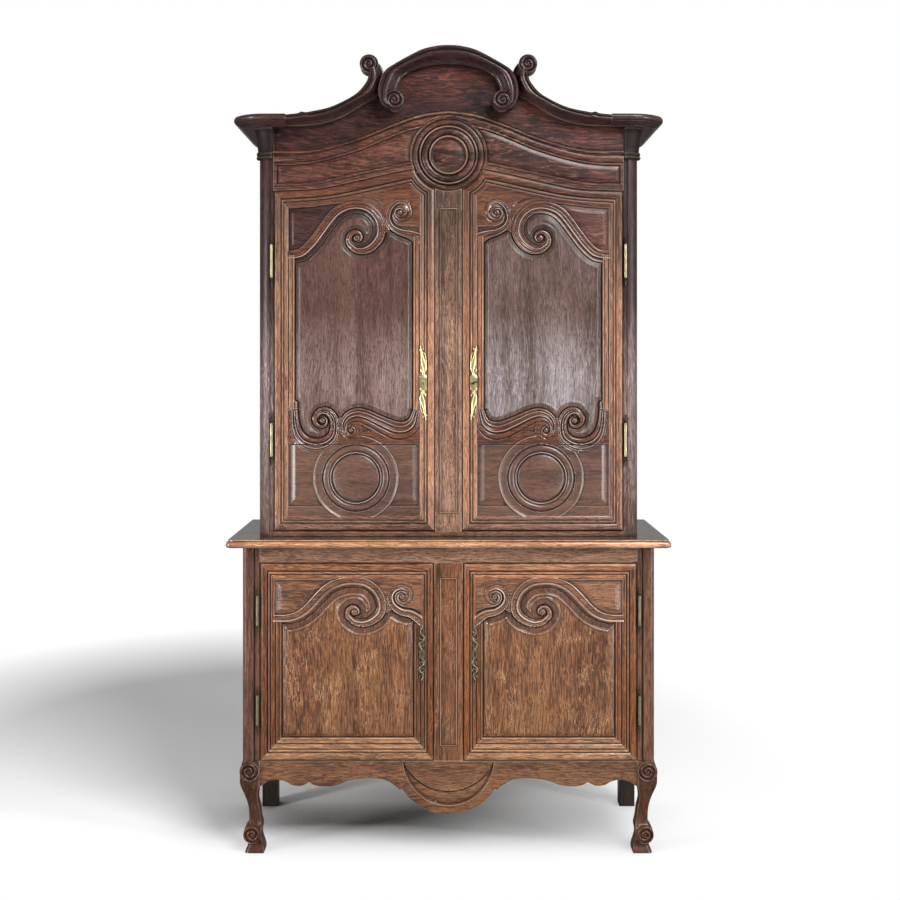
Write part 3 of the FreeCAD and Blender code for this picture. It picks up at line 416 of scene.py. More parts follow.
def metal(name, bright, dull, rough):
    """Aged metal, dull in its hollows."""
    t = Tree(bpy.data.materials.new(name))
    place = t.add("ShaderNodeTexCoord", {}).outputs["Object"]
    cloud = t.noise(place, 90.0, 4.0, 0.6)
    relief = t.add("ShaderNodeAttribute", {}, attribute_name="relief").outputs["Fac"]
    shut = t.add("ShaderNodeAmbientOcclusion", {"Distance": 0.004}, samples=4).outputs["AO"]
    shade = t.mix(t.remap(cloud, 0.42, 0.70, 0.0, 0.7), colour(bright), colour(dull))
    shade = t.mix(t.remap(shut, 0.25, 0.85, 0.85, 0.0), shade, colour(METAL_DIRT))
    shade = t.mix(t.remap(relief, 0.05, 0.5, 0.0, 0.7), shade, colour(METAL_GROOVE))
    gloss = t.remap(cloud, 0.3, 0.7, rough - 0.1, rough + 0.12)
    bump = t.add("ShaderNodeBump", {"Strength": 0.25, "Distance": 0.0003, "Height": cloud}).outputs[0]
    inputs = {"Base Color": shade, "Roughness": gloss, "Normal": bump, "Metallic": 1.0}
    return t.finish(t.add("ShaderNodeBsdfPrincipled", inputs))


X, Y, Z = 0, 1, 2
# Dark, middle and light tone of each wood
UPPER_PANEL = ("3f2d24", "67534e", "85736d")
UPPER_FRAME = ("503224", "8a5f47", "bd8c6a")
UPPER_LEVEL = ("3d241b", "664538", "8e6955")
LOWER_PANEL = ("32201b", "55392e", "704f3c")
UPPER_CARVED = ("311910", "553221", "714530")
BASE_PANEL = ("391d0f", "633d26", "815938")
BASE_FRAME = ("351604", "5f3213", "834c24")
# Painted sheen: the level members of the base doors' frames, facing up, take a lighter tone
BASE_LEVEL_SHEEN = ("472c1f", "7f583c", "af835d")
BASE_CARVED = ("3d2318", "6c4833", "8b6348")
# Frieze wood above its torus: dark stain and painted shade under the cornice
FRIEZE_STAIN_AND_SHADE = ("0f0607", "291211", "44251f")
FRIEZE_PANEL = ("21120f", "492922", "6b4335")
CORNICE = ("170e10", "321e1f", "4b312c")
CAPITAL_TONE = ("0a0303", "170707", "250e0b")
UPPER_POST = ("453838", "776360", "a38c86")
BASE_POST = ("2f1a13", "573828", "6f4a38")
RAIL = ("402b20", "70503d", "947158")
APRON = ("351e12", "613d27", "815a3a")
COUNTER = ("6d4631", "b38462", "ddad85")
# Greyer, darker tone of the counter's top: painted reflection
COUNTER_TOP_SHEEN = ("241812", "40302a", "5c4a42")
LEG = ("20100a", "422516", "5d3720")
STILE = ("462d25", "755645", "9b7a66")
BASE_STILE = ("371d0b", "603921", "805334")
# Very dark rear posts, as if in the shade under the base: painted shade
REAR_POST_SHADE = ("140c09", "251812", "35231a")
RAW = ("6b5038", "967552", "b8976c")
SPANDREL = ("1e0e0d", "38211d", "4c302b")
# Darker wood on the upper panels' bevels under the bands: painted shade; the boards' backs use it too
UPPER_BEVEL_SHADE = ("35241f", "563f37", "6f564c")
BASE_HEAD = ("482815", "805034", "af7c55")
# Changes of tone along an axis: painted light and shade, and the counter's darker lower edge and ends
# Darker towards the top of the upper doors and stile: darker stain and painted shade
TOP_STAIN_AND_SHADE = ((Z, 1.58, 1.92, (0.39, 0.38, 0.38)),)
# Upper panels: painted sheen, lighter and bluer on the right door, and painted shade towards the top
PANEL_SHEEN_AND_SHADE = ((X, -0.1, 0.1, (1.24, 1.57, 1.8)), (Z, 1.44, 1.63, (0.5, 0.365, 0.315)))
# Upper posts: painted shade, darker at the top, below 1.25 m and on the right post
POST_SHADE = (
    (Z, 1.42, 1.66, (0.2, 0.13, 0.125)),
    (Z, 1.25, 1.0, (0.7, 0.6, 0.53)),
    (X, -0.3, 0.3, (0.78, 0.78, 0.8)),
)
# Frieze: painted reflection, lighter towards its right end, and painted light above 2.3 m under the arch
FRIEZE_LIGHT = ((X, 0.16, 0.26, (2.1, 2.1, 1.75)), (Z, 2.26, 2.3, (2.0, 1.7, 1.4)))
# Spandrels: painted reflection, lighter on the right door
SPANDREL_SHEEN = ((X, -0.25, 0.25, (2.7, 2.7, 2.5)),)
COUNTER_FADES = (
    (Z, 0.932, 0.925, (0.5, 0.45, 0.45)),
    (X, -0.6, -0.64, (0.55, 0.55, 0.6)),
    (X, 0.6, 0.64, (0.55, 0.55, 0.6)),
)
# Pale colour of the crests: wear and painted highlight
SHINE = "efe4da"

upper_panel = oak("upper_panel_oak", Z, UPPER_PANEL, fades=PANEL_SHEEN_AND_SHADE, grain=0.4, wax=0.2)
upper_bevel_shade = oak("upper_bevel_oak", Z, UPPER_BEVEL_SHADE, fades=TOP_STAIN_AND_SHADE, wax=0.3)
lower_panel = oak("lower_panel_oak", X, LOWER_PANEL, wear_and_highlight=0.6, grain=0.35, satin=0.3, crest=SHINE)
upper_upright = oak("upper_frame_oak_upright", Z, UPPER_FRAME, fades=TOP_STAIN_AND_SHADE, grain=0.4, wax=0.3, satin=0.3)
upper_level = oak("upper_frame_oak_level", X, UPPER_LEVEL)
upper_head = oak("upper_frame_oak_head", X, UPPER_CARVED, wax=0.4, satin=0.3)
upper_carved = oak("upper_carved_oak", X, UPPER_CARVED, wear_and_highlight=0.6, crest=SHINE)
upper_spandrel = oak("upper_spandrel_oak", X, SPANDREL, fades=SPANDREL_SHEEN, wax=0.3)
base_panel = oak("base_panel_oak", Z, BASE_PANEL, rays=0.6, wear_and_highlight=1.0, grain=0.65, wax=0.6, crest=SHINE)
base_upright = oak("base_frame_oak_upright", Z, BASE_FRAME, rays=0.2, wax=0.35)
# Darker wood for the base panels' bevels under the bands: painted shade
base_bevel_shade = oak("base_bevel_oak", Z, BASE_POST)
base_head = oak("base_frame_oak_head", X, BASE_HEAD, rays=0.2)
base_level_sheen = oak("base_frame_oak_level_sheen", X, BASE_LEVEL_SHEEN, rays=0.2, wear_and_highlight=0.5)
base_carved = oak("base_carved_oak", X, BASE_CARVED, wear_and_highlight=0.9, wax=0.6, crest=SHINE)
frieze_oak = oak("frieze_oak", X, FRIEZE_STAIN_AND_SHADE, stain=0.9, fades=FRIEZE_LIGHT, wax=0.3)
frieze_panel = oak("frieze_panel_oak", X, FRIEZE_PANEL, stain=0.85, wear_and_highlight=0.6, wax=0.3)
cornice_oak = oak("cornice_oak", X, CORNICE, stain=0.3, wax=0.35)
cornice_side = oak("cornice_side_oak", Y, CORNICE, stain=0.3, wear_and_highlight=0.1, wax=0.3)
capital_oak = oak("capital_oak", Z, CAPITAL_TONE, rough=0.62, crevice_shade=0.4, wear_and_highlight=0.1, wax=0.0)
upper_post = oak("upper_post_oak", Z, UPPER_POST, fades=POST_SHADE, wax=0.1, satin=0.34)
base_post = oak("base_post_oak", Z, BASE_POST, wax=0.3)
leg_oak = oak("leg_oak", Z, LEG, wear_and_highlight=0.5, wax=0.3, satin=0.3)
rail_oak = oak("rail_oak", X, RAIL, rays=0.2, stain=0.25)
apron_oak = oak("apron_oak", X, APRON, rays=0.15, stain=0.25, wear_and_highlight=0.7)
counter_oak = oak("counter_oak", X, COUNTER, fades=COUNTER_FADES, rough=0.26, grain=0.35)
counter_top_sheen = oak("counter_face_oak", X, COUNTER_TOP_SHEEN, rough=0.2, wax=0.9)
upper_stile_oak = oak("upper_stile_oak", Z, STILE, rays=0.4, wear_and_highlight=0.8, fades=TOP_STAIN_AND_SHADE)
base_stile_oak = oak("base_stile_oak", Z, BASE_STILE, rays=0.4, wear_and_highlight=0.8)
# Painted shade: the rear posts take a very dark tone
rear_post = oak("rear_post_oak", Z, REAR_POST_SHADE)
side_upright = oak("side_oak_upright", Z, BASE_FRAME, rays=0.2)
side_level = oak("side_oak_level", Y, BASE_FRAME, rays=0.2)
inner_upright = oak("inner_oak_upright", Z, RAW, rough=0.6, crevice_shade=0.55)
inner_level = oak("inner_oak_level", X, RAW, rough=0.6, crevice_shade=0.55)
inner_deep = oak("inner_oak_deep", Y, RAW, rough=0.6, crevice_shade=0.55)
bright_brass = metal("bright_brass", "e8daa6", "b8a870", 0.36)
dull_brass = metal("dull_brass", "857c64", "544d3e", 0.45)
hinge_brass = metal("hinge_brass", "aca284", "7d7359", 0.45)
dark_brass = metal("dark_brass", "4f4636", "2d2820", 0.5)
iron = metal("lock_iron", "4a4541", "2c2724", 0.5)

# Doors: a moulded frame all round, its mitres included, and a carved board inside it

STILE_WIDTH = 45.0
MITRE = 1.8
# Width of the second moulding, and the sides of the upper panel's field between its runs
INNER_WIDTH = 18.0
FIELD_LEFT = SIGHT_LEFT + INNER_WIDTH
FIELD_RIGHT = SIGHT_RIGHT - INNER_WIDTH
FRAME_MOULDING = (
    [(0, 6.5)] + arc(1, 21, 4.6, 5.6, 11)
    + [(21.6, 5.6), (23.2, 5.6), (24, 1.6), (26.2, 1.1), (28.6, 1.6), (29.4, 4.6), (31.4, 4.6), (32.4, 2.0)]
    + [(35, 1.2), (38, 1.6), (41, 3.0), (43, 4.4), (43.6, 8.0), (45, 9.0)]
)
INNER_MOULDING = (
    (0, 7.0), (0.08, 3.4), (0.2, 2.6), (0.45, 2.2), (0.56, 2.5), (0.6, 4.4), (0.68, 4.4), (0.72, 2.8),
    (0.86, 2.9), (0.95, 4.2), (1, 9.5),
)


def traced(start, end, height, count):
    """Points of a curve, given by its height, from one x up to another."""
    x = start + np.linspace(0, 1, count, endpoint=False) * (end - start)
    return np.stack([x, height(x)], axis=1)


def rectangle(left, right, low, high):
    """Corners of a rectangle, from the lower left one to the right and round."""
    return [(left, low), (right, low), (right, high), (left, high)]


def upper_outlines():
    """Outer and sight edge of the left upper door in matching points, their grain and the corners."""
    left, right, low, gap = -528.5, -42.0, 964.0, 2.0
    reach = MEDALLION_RADIUS + gap
    cusp = next(x for x in np.arange(-100, -112, -0.05) if below_circle(x, reach) >= head(x) - gap)
    outer = [
        [(left, low)],
        [(right, low)],
        traced(right, cusp, lambda x: below_circle(x, reach), 14),
        traced(cusp, left, lambda x: head(x) - gap, 60),
        [(left, float(head(left)) - gap)],
    ]
    sight = [
        [(SIGHT_LEFT, SIGHT_FOOT)],
        [(SIGHT_RIGHT, SIGHT_FOOT)],
        traced(SIGHT_RIGHT, SIGHT_SHOULDER, lambda x: below_circle(x, SIGHT_RADIUS), 14),
        traced(SIGHT_SHOULDER, SIGHT_LEFT, sight_top, 60),
        [(SIGHT_LEFT, sight_top(SIGHT_LEFT))],
    ]
    marks = np.repeat((1, 0, 2, 2, 0), [len(run) for run in outer])
    return np.vstack(outer), np.vstack(sight), marks, (0, 1, len(marks) - 1)


def base_outlines():
    """The same for the left base door, which is square."""
    outer = rectangle(-565, -45, 281, 872)
    sight = rectangle(BASE_LEFT, BASE_RIGHT, BASE_FOOT, BASE_TOP)
    return outer, sight, (1, 0, 2, 0), range(4)


def towards(here, other, reach):
    """Both edges of a moulding a little way on from a corner."""
    way = other - here
    length = np.linalg.norm(way, axis=1)[:, None]
    return here + way / length * np.minimum(reach, 0.4 * length)


def mitred(outside, within, marks, corners, closed):
    """Both edges of a moulding with points beside its corners, the cuts of its mitres and its grain."""
    edges = np.stack([outside, within], axis=1).astype(float)
    last = len(edges) - 1
    rows, cuts, grain = [], [], []
    for k, here in enumerate(edges):
        comes, goes = closed or k > 0, closed or k < last
        if k in corners and comes:
            rows += [towards(here, edges[k - 1], reach) for reach in (12, 1)]
            cuts += [0, 0]
            grain += [marks[k - 1]] * 2
        rows.append(here)
        cuts.append(MITRE if k in corners and comes and goes else 0)
        grain.append(marks[k] if goes else marks[k - 1])
        if k in corners and goes:
            rows += [towards(here, edges[(k + 1) % len(edges)], reach) for reach in (1, 12)]
            cuts += [0, 0]
            grain += [marks[k]] * 2
    return np.array(rows), np.array(cuts), np.array(grain)


def moulding_rings(rows, cuts, profile, face):
    """Points across a moulding, as shares of its width with depths, at each of its places."""
    share = np.array([s for s, _ in profile])
    depth = np.array([d for _, d in profile])
    flat = rows[:, None, 0] + share[None, :, None] * (rows[:, 1] - rows[:, 0])[:, None]
    return np.stack([flat[..., 0], face + depth + cuts[:, None], flat[..., 1]], axis=-1)


def moulded_frame(outer, sight, marks, corners, face):
    """The frame of a door: its moulding runs round between the outer edge and the sight edge."""
    rows, cuts, grain = mitred(outer, sight, marks, corners, True)
    front = moulding_rings(rows, cuts, [(place / STILE_WIDTH, d) for place, d in FRAME_MOULDING], face)
    rear = moulding_rings(rows, 0 * cuts, [(share, BOARD) for share in (1, 0.93, 0.07, 0)], face)
    return loft(np.concatenate([front, rear], axis=1), closed=True, marks=grain)


def inner_moulding(outside, within, marks, face):
    """The second moulding along a shaped panel, with square ends."""
    rows, cuts, grain = mitred(outside, within, marks, range(len(outside)), False)
    return loft(moulding_rings(rows, cuts, [*INNER_MOULDING, (1, 16), (0, 16)], face), marks=grain[:-1])


# Carving


class Stroke:
    """A carved band through points given with half widths, which may end in a spiral round a centre."""

    def __init__(self, points, centre=None, turns=1.2, way=1, rail_side=1):
        line = spline(points)
        if centre:
            last = points[-1]
            end = curl(centre, last[:2], turns, SHRINK, way)
            half = np.maximum(last[2] * SHRINK**np.linspace(0, turns * 4, len(end)), 3.2)
            line = np.vstack([line[:-1], np.column_stack([end, half])])
        line = spread(line, int(np.linalg.norm(np.diff(line, axis=0), axis=1).sum() / 1.4))
        self.path, self.half = line[:, :2], line[:, 2]
        self.rail_side = rail_side
        tangent = np.gradient(self.path, axis=0)
        self.tangent = tangent / np.linalg.norm(tangent, axis=1)[:, None]

    def measure(self, x, z, reach=60.0):
        """Each point's gap to the band's edge, its place across the band and the half width there."""
        gap, across, half = np.full(x.size, 1e3), np.zeros(x.size), np.ones(x.size)
        px, pz = x.ravel(), z.ravel()
        low, high = self.path.min(0) - reach, self.path.max(0) + reach
        near = np.flatnonzero((px > low[0]) & (px < high[0]) & (pz > low[1]) & (pz < high[1]))
        for part in np.array_split(near, len(near) * len(self.path) // 3_000_000 + 1):
            dx = px[part, None] - self.path[:, 0]
            dz = pz[part, None] - self.path[:, 1]
            away = np.hypot(dx, dz) - self.half
            k = away.argmin(1)
            rows = np.arange(len(part))
            gap[part] = away[rows, k]
            side = self.tangent[k, 0] * dz[rows, k] - self.tangent[k, 1] * dx[rows, k]
            across[part] = self.rail_side * side / self.half[k]
            half[part] = self.half[k]
        return gap.reshape(x.shape), across.reshape(x.shape), half.reshape(x.shape)


# Radius left of a spiral after a quarter turn
SHRINK = 0.72
# Profiles across a band, from the panel's side at -1 to the rail's side at 1, as depths below the rail
ARRIS_BAND = (
    (-1.0, 7.0), (-0.95, 5.0), (-0.85, 5.8), (-0.62, 7.2), (-0.46, 6.6), (-0.37, 4.0), (-0.31, 0.6),
    (-0.27, -1.6), (-0.2, -2.0), (-0.14, -1.2), (-0.08, 1.2), (-0.02, 1.6), (0.1, 0.8), (0.28, 0.6),
    (0.36, 1.0), (0.39, 3.0), (0.44, 3.0), (0.48, 0.4), (0.6, -0.4), (0.8, -0.6), (0.94, -0.2),
    (1.0, 1.2),
)
FILLET_BAND = (
    [(-1.0, 6.5), (-0.72, 6.0), (-0.66, 3.4)] + arc(-0.64, -0.08, 2.0, 5.6, 9) + [(-0.04, 2.6), (0.03, 0.6)]
    + [(0.2, 1.3), (0.4, 1.5), (0.6, 0.9), (0.72, 0.3), (0.76, 1.2)] + arc(0.78, 0.98, 0.4, 3.4, 7)
    + [(1.0, 2.0)]
)
REEDED_BAND = (
    [(-1.0, 5.0), (-0.95, 2.4)] + arc(-0.92, -0.34, 1.2, 3.4, 9) + [(-0.30, 3.4), (-0.25, 3.4), (-0.2, 0.4)]
    + [(-0.14, -2.0), (-0.06, -2.0), (0.0, 0.6), (0.12, 2.8), (0.26, 2.8), (0.36, 0.8), (0.44, -0.9)]
    + [(0.52, -0.9), (0.58, 0.8), (0.62, 2.6), (0.67, 2.6), (0.72, 0.2), (0.94, 0.0), (1.0, 2.4)]
)


def band_depth(across, half, profile):
    """Depth of a moulded band, which becomes one round where it is narrow."""
    plain = 2.0 - 4.6 * np.sqrt(np.clip(1 - across**2, 0, 1))
    wide = smooth(half, 7.0, 11.0)
    return RAIL_DEPTH + wide * profile_at(across, profile) + (1 - wide) * plain


def raised(d, bead, bevel, groove, field):
    """Depth of a raised panel at a distance from its edge: a groove, a bevel, a bead and the flat field."""
    top, low = field - bead, groove + 1.5
    slope = [(0, low), (2.2, low), (3.0, groove - 1.5), (bevel - 4.6, field + 1.2)]
    slope += [(bevel - 3.0, top + 1.0), (bevel - 1.4, top), (bevel + 1.4, top)]
    slope += [(bevel + 3.0, top + 1.0), (bevel + 4.6, field)]
    return profile_at(d, slope)


def inside(x, z, corners):
    """Which points lie within a polygon."""
    within = np.zeros(x.shape, bool)
    corners = np.asarray(corners, float)
    for (ax, az), (bx, bz) in zip(corners, np.roll(corners, -1, axis=0)):
        if az != bz:
            within ^= ((az > z) != (bz > z)) & (x < (bx - ax) * (z - az) / (bz - az) + ax)
    return within


def cut_eye(depth, x, z, centre, radius):
    """Cuts the round eye of a spiral into the depths."""
    r = np.hypot(x - centre[0], z - centre[1])
    bead = RAIL_DEPTH + 1.0 - 4.2 * np.sqrt(np.clip(1 - (r / radius)**2, 0, 1))
    ring = np.where(r < radius + 2.0, RAIL_DEPTH + 4.0, depth)
    return np.where(r < radius, bead, ring)


# Bands of the left doors, as places with half widths, and the centres of their spirals
UPPER_BAND = [
    (-505, 1796, 19), (-473, 1796, 19), (-442, 1804, 19), (-413, 1831, 19.5), (-388, 1863, 19.5),
    (-364, 1896, 19.5), (-339, 1925, 19.5), (-312, 1941, 19), (-281, 1947, 19), (-250, 1941, 18.5),
    (-225, 1921, 18.5), (-211, 1893, 18.5), (-212, 1861, 18), (-228, 1835, 17), (-252, 1819, 15),
    (-279, 1818, 12), (-299, 1832, 10),
]
UPPER_EYE = (-278, 1852)
UPPER_TAIL = [
    (-66, 1840, 30), (-88, 1858, 27), (-116, 1868, 19), (-146, 1874, 14), (-170, 1888, 12),
    (-181, 1912, 11), (-174, 1942, 10.5), (-152, 1960, 9.5), (-127, 1955, 8.5), (-116, 1935, 7.5),
]
UPPER_TAIL_EYE = (-147, 1930)
LOW_LEFT_BAND = [
    (-469, 1348, 12), (-469, 1329, 12), (-467, 1294, 14), (-459, 1259, 18), (-438, 1234, 21),
    (-405, 1224, 21), (-374, 1230, 19.5), (-352, 1248, 17), (-345, 1276, 14), (-349, 1305, 13),
    (-366, 1325, 11.5), (-390, 1326, 9.5), (-406, 1308, 7.5),
]
LOW_LEFT_EYE = (-382, 1298)
LOW_RIGHT_BAND = [
    (-92, 1348, 12), (-97, 1322, 13), (-107, 1288, 20), (-130, 1270, 26), (-161, 1269, 27),
    (-192, 1281, 25), (-223, 1296, 23), (-250, 1309, 22), (-277, 1315, 20.5), (-302, 1307, 17),
    (-316, 1288, 12.5), (-315, 1266, 9), (-304, 1252, 7.5),
]
LOW_RIGHT_EYE = (-296, 1269)
BASE_BAND = [
    (-545, 704, 13), (-519, 704, 13), (-481, 705, 14), (-446, 716, 15), (-417, 738, 16.5),
    (-389, 768, 17), (-360, 795, 17), (-327, 811, 16.5), (-288, 817, 15.5), (-248, 810, 15.5),
    (-218, 788, 15.5), (-203, 758, 15), (-203, 728, 14), (-222, 705, 12.5), (-252, 692, 11),
    (-282, 696, 9.5), (-302, 714, 8.5),
]
BASE_EYE = (-282, 725)
BASE_TAIL = [
    (-62, 690, 20), (-87, 707, 17), (-112, 722, 14.5), (-142, 729, 13), (-165, 746, 12), (-173, 769, 11),
    (-164, 790, 10), (-142, 799, 9), (-118, 791, 8),
]
BASE_TAIL_EYE = (-139, 771)
LENS = [(-262, 1974, 0.8), (-231, 1968, 4.5), (-212, 1960, 5.5), (-198, 1951, 2.0)]
CHIP = [(-266, 1285), (-262, 1262), (-237, 1267)]
# Widths of the panels' bevels; right ends and profile of the sunk fields in the top rails' tips
BASE_BEVEL = 23.0
UPPER_BEVEL = 18.0
BASE_TIP_END = -310.0
UPPER_TIP_END = -300.0
TIP_FIELD = ((0, 10), (1.5, 10.5), (3, 10), (12, 8.6), (17, 6.6), (18.5, 6.2))
# Foot of the upper panel's side mouldings; top, foot and profile of the low panel's field
MOULDING_FOOT = 1331.0
RAIL_JOINT = 1225.0
LOW_FIELD_FOOT = 1040.0
LOW_FIELD = ((-1.2, 4.0), (0, 9.5), (1.6, 9.5), (8, 9.0), (13, 7.4), (20, 4.6), (21.5, 4.2))
# The low panel's boss: its rings, the halo round it, and the plain rim it has at the upper left
BOSS = (-281.0, 1124.0)
BOSS_RADIUS = 105.0
BOSS_RINGS = (
    [(0, 2.0), (30, 2.6), (52, 4.2), (65, 6.2), (70, 7.6), (71.5, 10.5), (74.5, 10.5), (75.5, 4.0)]
    + [(78.4, 4.0), (79.6, 8.0)] + arc(80.5, 100, 6.4, 6.6, 13)
    + [(100.5, 8.0), (102, 8.0), (102.8, 3.2), (104.4, 3.2), (105, 6.0)]
)
HALO_RADIUS = 132.0
HALO = (
    (105, 6.0), (107, 4.8), (112, 5.6), (120, 5.2), (125, 3.8), (126.6, 1.4), (129.6, 1.4), (131, 5.6),
    (132, 4.4),
)
PLAIN_RIM = ((105, 6.0), (107, 4.8), (112, 4.4), (132, 4.2))
# Spacing of the points of carved boards, and how far the boards reach under their frames
FINE = 1.75
LAP = 6.0
# Start, end and spacing of the rows in the plain middle of each panel
UPPER_PLAIN = (1362.0, 1752.0, 7.8)
BASE_PLAIN = (374.0, 640.0, 7.0)


def middle_line(points):
    """A band's middle line without its widths."""
    return [(x, z) for x, z, _ in points]


def columns(low, high, step):
    """Evenly spaced places, about a step apart, with both ends."""
    return np.linspace(low, high, int(round((high - low) / step)) + 1)


def grid(xs, low, top):
    """Points of a board: fixed levels at first, then fine rows that close up under the top edge."""
    high = top(xs)
    rows = np.linspace(0, 1, int((high.max() - low[-1]) / FINE) + 1)[1:]
    fixed = np.repeat(low[None], len(xs), axis=0)
    z = np.concatenate([fixed, low[-1] + rows * (high - low[-1])[:, None]], axis=1)
    return np.repeat(xs[:, None], z.shape[1], axis=1), z


def stretched(xs, low, high, count):
    """Points of a board in rows that keep their shares of its height from the lower to the upper edge."""
    z = low[:, None] + np.linspace(0, 1, count) * (high - low)[:, None]
    return np.repeat(xs[:, None], count, axis=1), z


def carve(depth, met):
    """Raises each measured band over the depths, with a fine groove along its edges."""
    for (gap, across, half), profile in met:
        depth = np.where(gap < 0, band_depth(across, half, profile), depth)
        depth = np.where(np.abs(gap) < 1.1, np.maximum(depth, RAIL_DEPTH + 1.8), depth)
    return depth


def spandrel(depth, d):
    """Sinks a small bevelled field into a rail, d from its edge."""
    return np.where(d > 0, profile_at(d, TIP_FIELD), depth)


def upper_board():
    """Carved boards of the left upper door: shaped top rail, panel, shaped middle rail and low panel."""
    xs = columns(SIGHT_LEFT - LAP, SIGHT_RIGHT + LAP, FINE)
    low = np.r_[columns(SIGHT_FOOT - LAP, UPPER_PLAIN[0], FINE), columns(*UPPER_PLAIN)[1:]]
    x, z = grid(xs, low, lambda at: sight_top(at) + LAP)
    strokes = [
        (Stroke(UPPER_BAND, UPPER_EYE, 1.3, -1), ARRIS_BAND),
        (Stroke(UPPER_TAIL, UPPER_TAIL_EYE, 1.3, -1), ARRIS_BAND),
        (Stroke(LOW_LEFT_BAND, LOW_LEFT_EYE, 1.2, 1, -1), REEDED_BAND),
        (Stroke(LOW_RIGHT_BAND, LOW_RIGHT_EYE, 1.1, 1, -1), REEDED_BAND),
    ]
    met = [(stroke.measure(x, z), profile) for stroke, profile in strokes]
    edge = middle_line(UPPER_BAND[:13]) + [(-192, 1868), (-166, 1884)] + middle_line(UPPER_TAIL[3::-1])
    above = inside(x, z, edge + [(-60, 2140), (-540, 2140)])
    edge = middle_line(LOW_LEFT_BAND[:10]) + [(-330, 1306), (-306, 1309)]
    edge += middle_line(LOW_RIGHT_BAND[8::-1])
    below = inside(x, z, [(-540, 1345)] + edge + [(-40, 1345), (-40, 900), (-540, 900)])
    gaps = np.min([m[0] for m, _ in met], axis=0)
    sides = np.minimum(x - FIELD_LEFT, FIELD_RIGHT - x)
    depth = raised(np.maximum(np.minimum(sides, gaps), 0), 1.2, UPPER_BEVEL, 11.0, 6.5)
    depth = np.where(above | below, RAIL_DEPTH, depth)

    tip = np.minimum.reduce([x - (SIGHT_LEFT - 2), sight_top(x) - 1 - z, met[0][0][0]])
    in_tip = above & (x < UPPER_TIP_END)
    depth = np.where(in_tip, spandrel(depth, tip), depth)
    lens = Stroke(LENS).measure(x, z)[0]
    depth = np.where(lens < 0, depth - 0.9 * lens, depth)
    depth = np.where(inside(x, z, CHIP), 7.0, depth)

    r = np.hypot(x - BOSS[0], z - BOSS[1])
    d = np.minimum.reduce([x - SIGHT_LEFT, SIGHT_RIGHT - x, z - LOW_FIELD_FOOT])
    depth = np.where(below & (z < RAIL_JOINT), profile_at(d, LOW_FIELD), depth)
    rise = smooth(np.arctan2(z - BOSS[1], -(x - BOSS[0])), 0.55, 0.75) * smooth(BOSS[0] + 18 - x, -6, 6)
    rim = profile_at(r, HALO) * (1 - rise) + profile_at(r, PLAIN_RIM) * rise
    depth = np.where(below & (r >= BOSS_RADIUS) & (r < HALO_RADIUS) & (gaps > 0), rim, depth)
    depth = np.where(r < BOSS_RADIUS, profile_at(r, BOSS_RINGS), depth)

    lifted = np.where(r < BOSS_RADIUS + 1, 1e3, 0)
    depth = carve(depth, [((m[0] + lifted, m[1], m[2]), profile) for m, profile in met])
    notch = (np.abs(z - MOULDING_FOOT) < 1.6) & ((x < FIELD_LEFT + 11) | (x > FIELD_RIGHT - 9))
    joint = below & (np.abs(z - RAIL_JOINT) < 1.5) & (r > BOSS_RADIUS + 8)
    depth = np.where(notch | joint, depth + 5.0, depth)
    for centre, radius in ((UPPER_EYE, 9.5), (UPPER_TAIL_EYE, 8), (LOW_LEFT_EYE, 8.5), (LOW_RIGHT_EYE, 7)):
        depth = cut_eye(depth, x, z, centre, radius)

    middle = (z[:-1, :-1] + z[1:, 1:]) / 2
    shaped = (above | below | (gaps < 1))[:-1, :-1]
    # Bevels beside the bands take the darker wood: painted shade
    bevel = ((gaps < UPPER_BEVEL - 4) & (gaps < sides))[:-1, :-1]
    marks = np.where(shaped, np.where(middle < RAIL_JOINT, 1, 2), np.where(bevel, 3, 0))
    (gap, across, half), _ = met[0]
    # The cove on the panel side of the upper band takes the dark spandrel wood: painted shade
    shaded_cove = (gap < 0) & (across < -0.38) & (half > 11)
    marks = np.where(((in_tip & (tip > 0)) | shaded_cove)[:-1, :-1], 4, marks)
    return slab(x, z, UPPER_FACE + depth, UPPER_FACE + CARVED_BOARD, marks, 3)


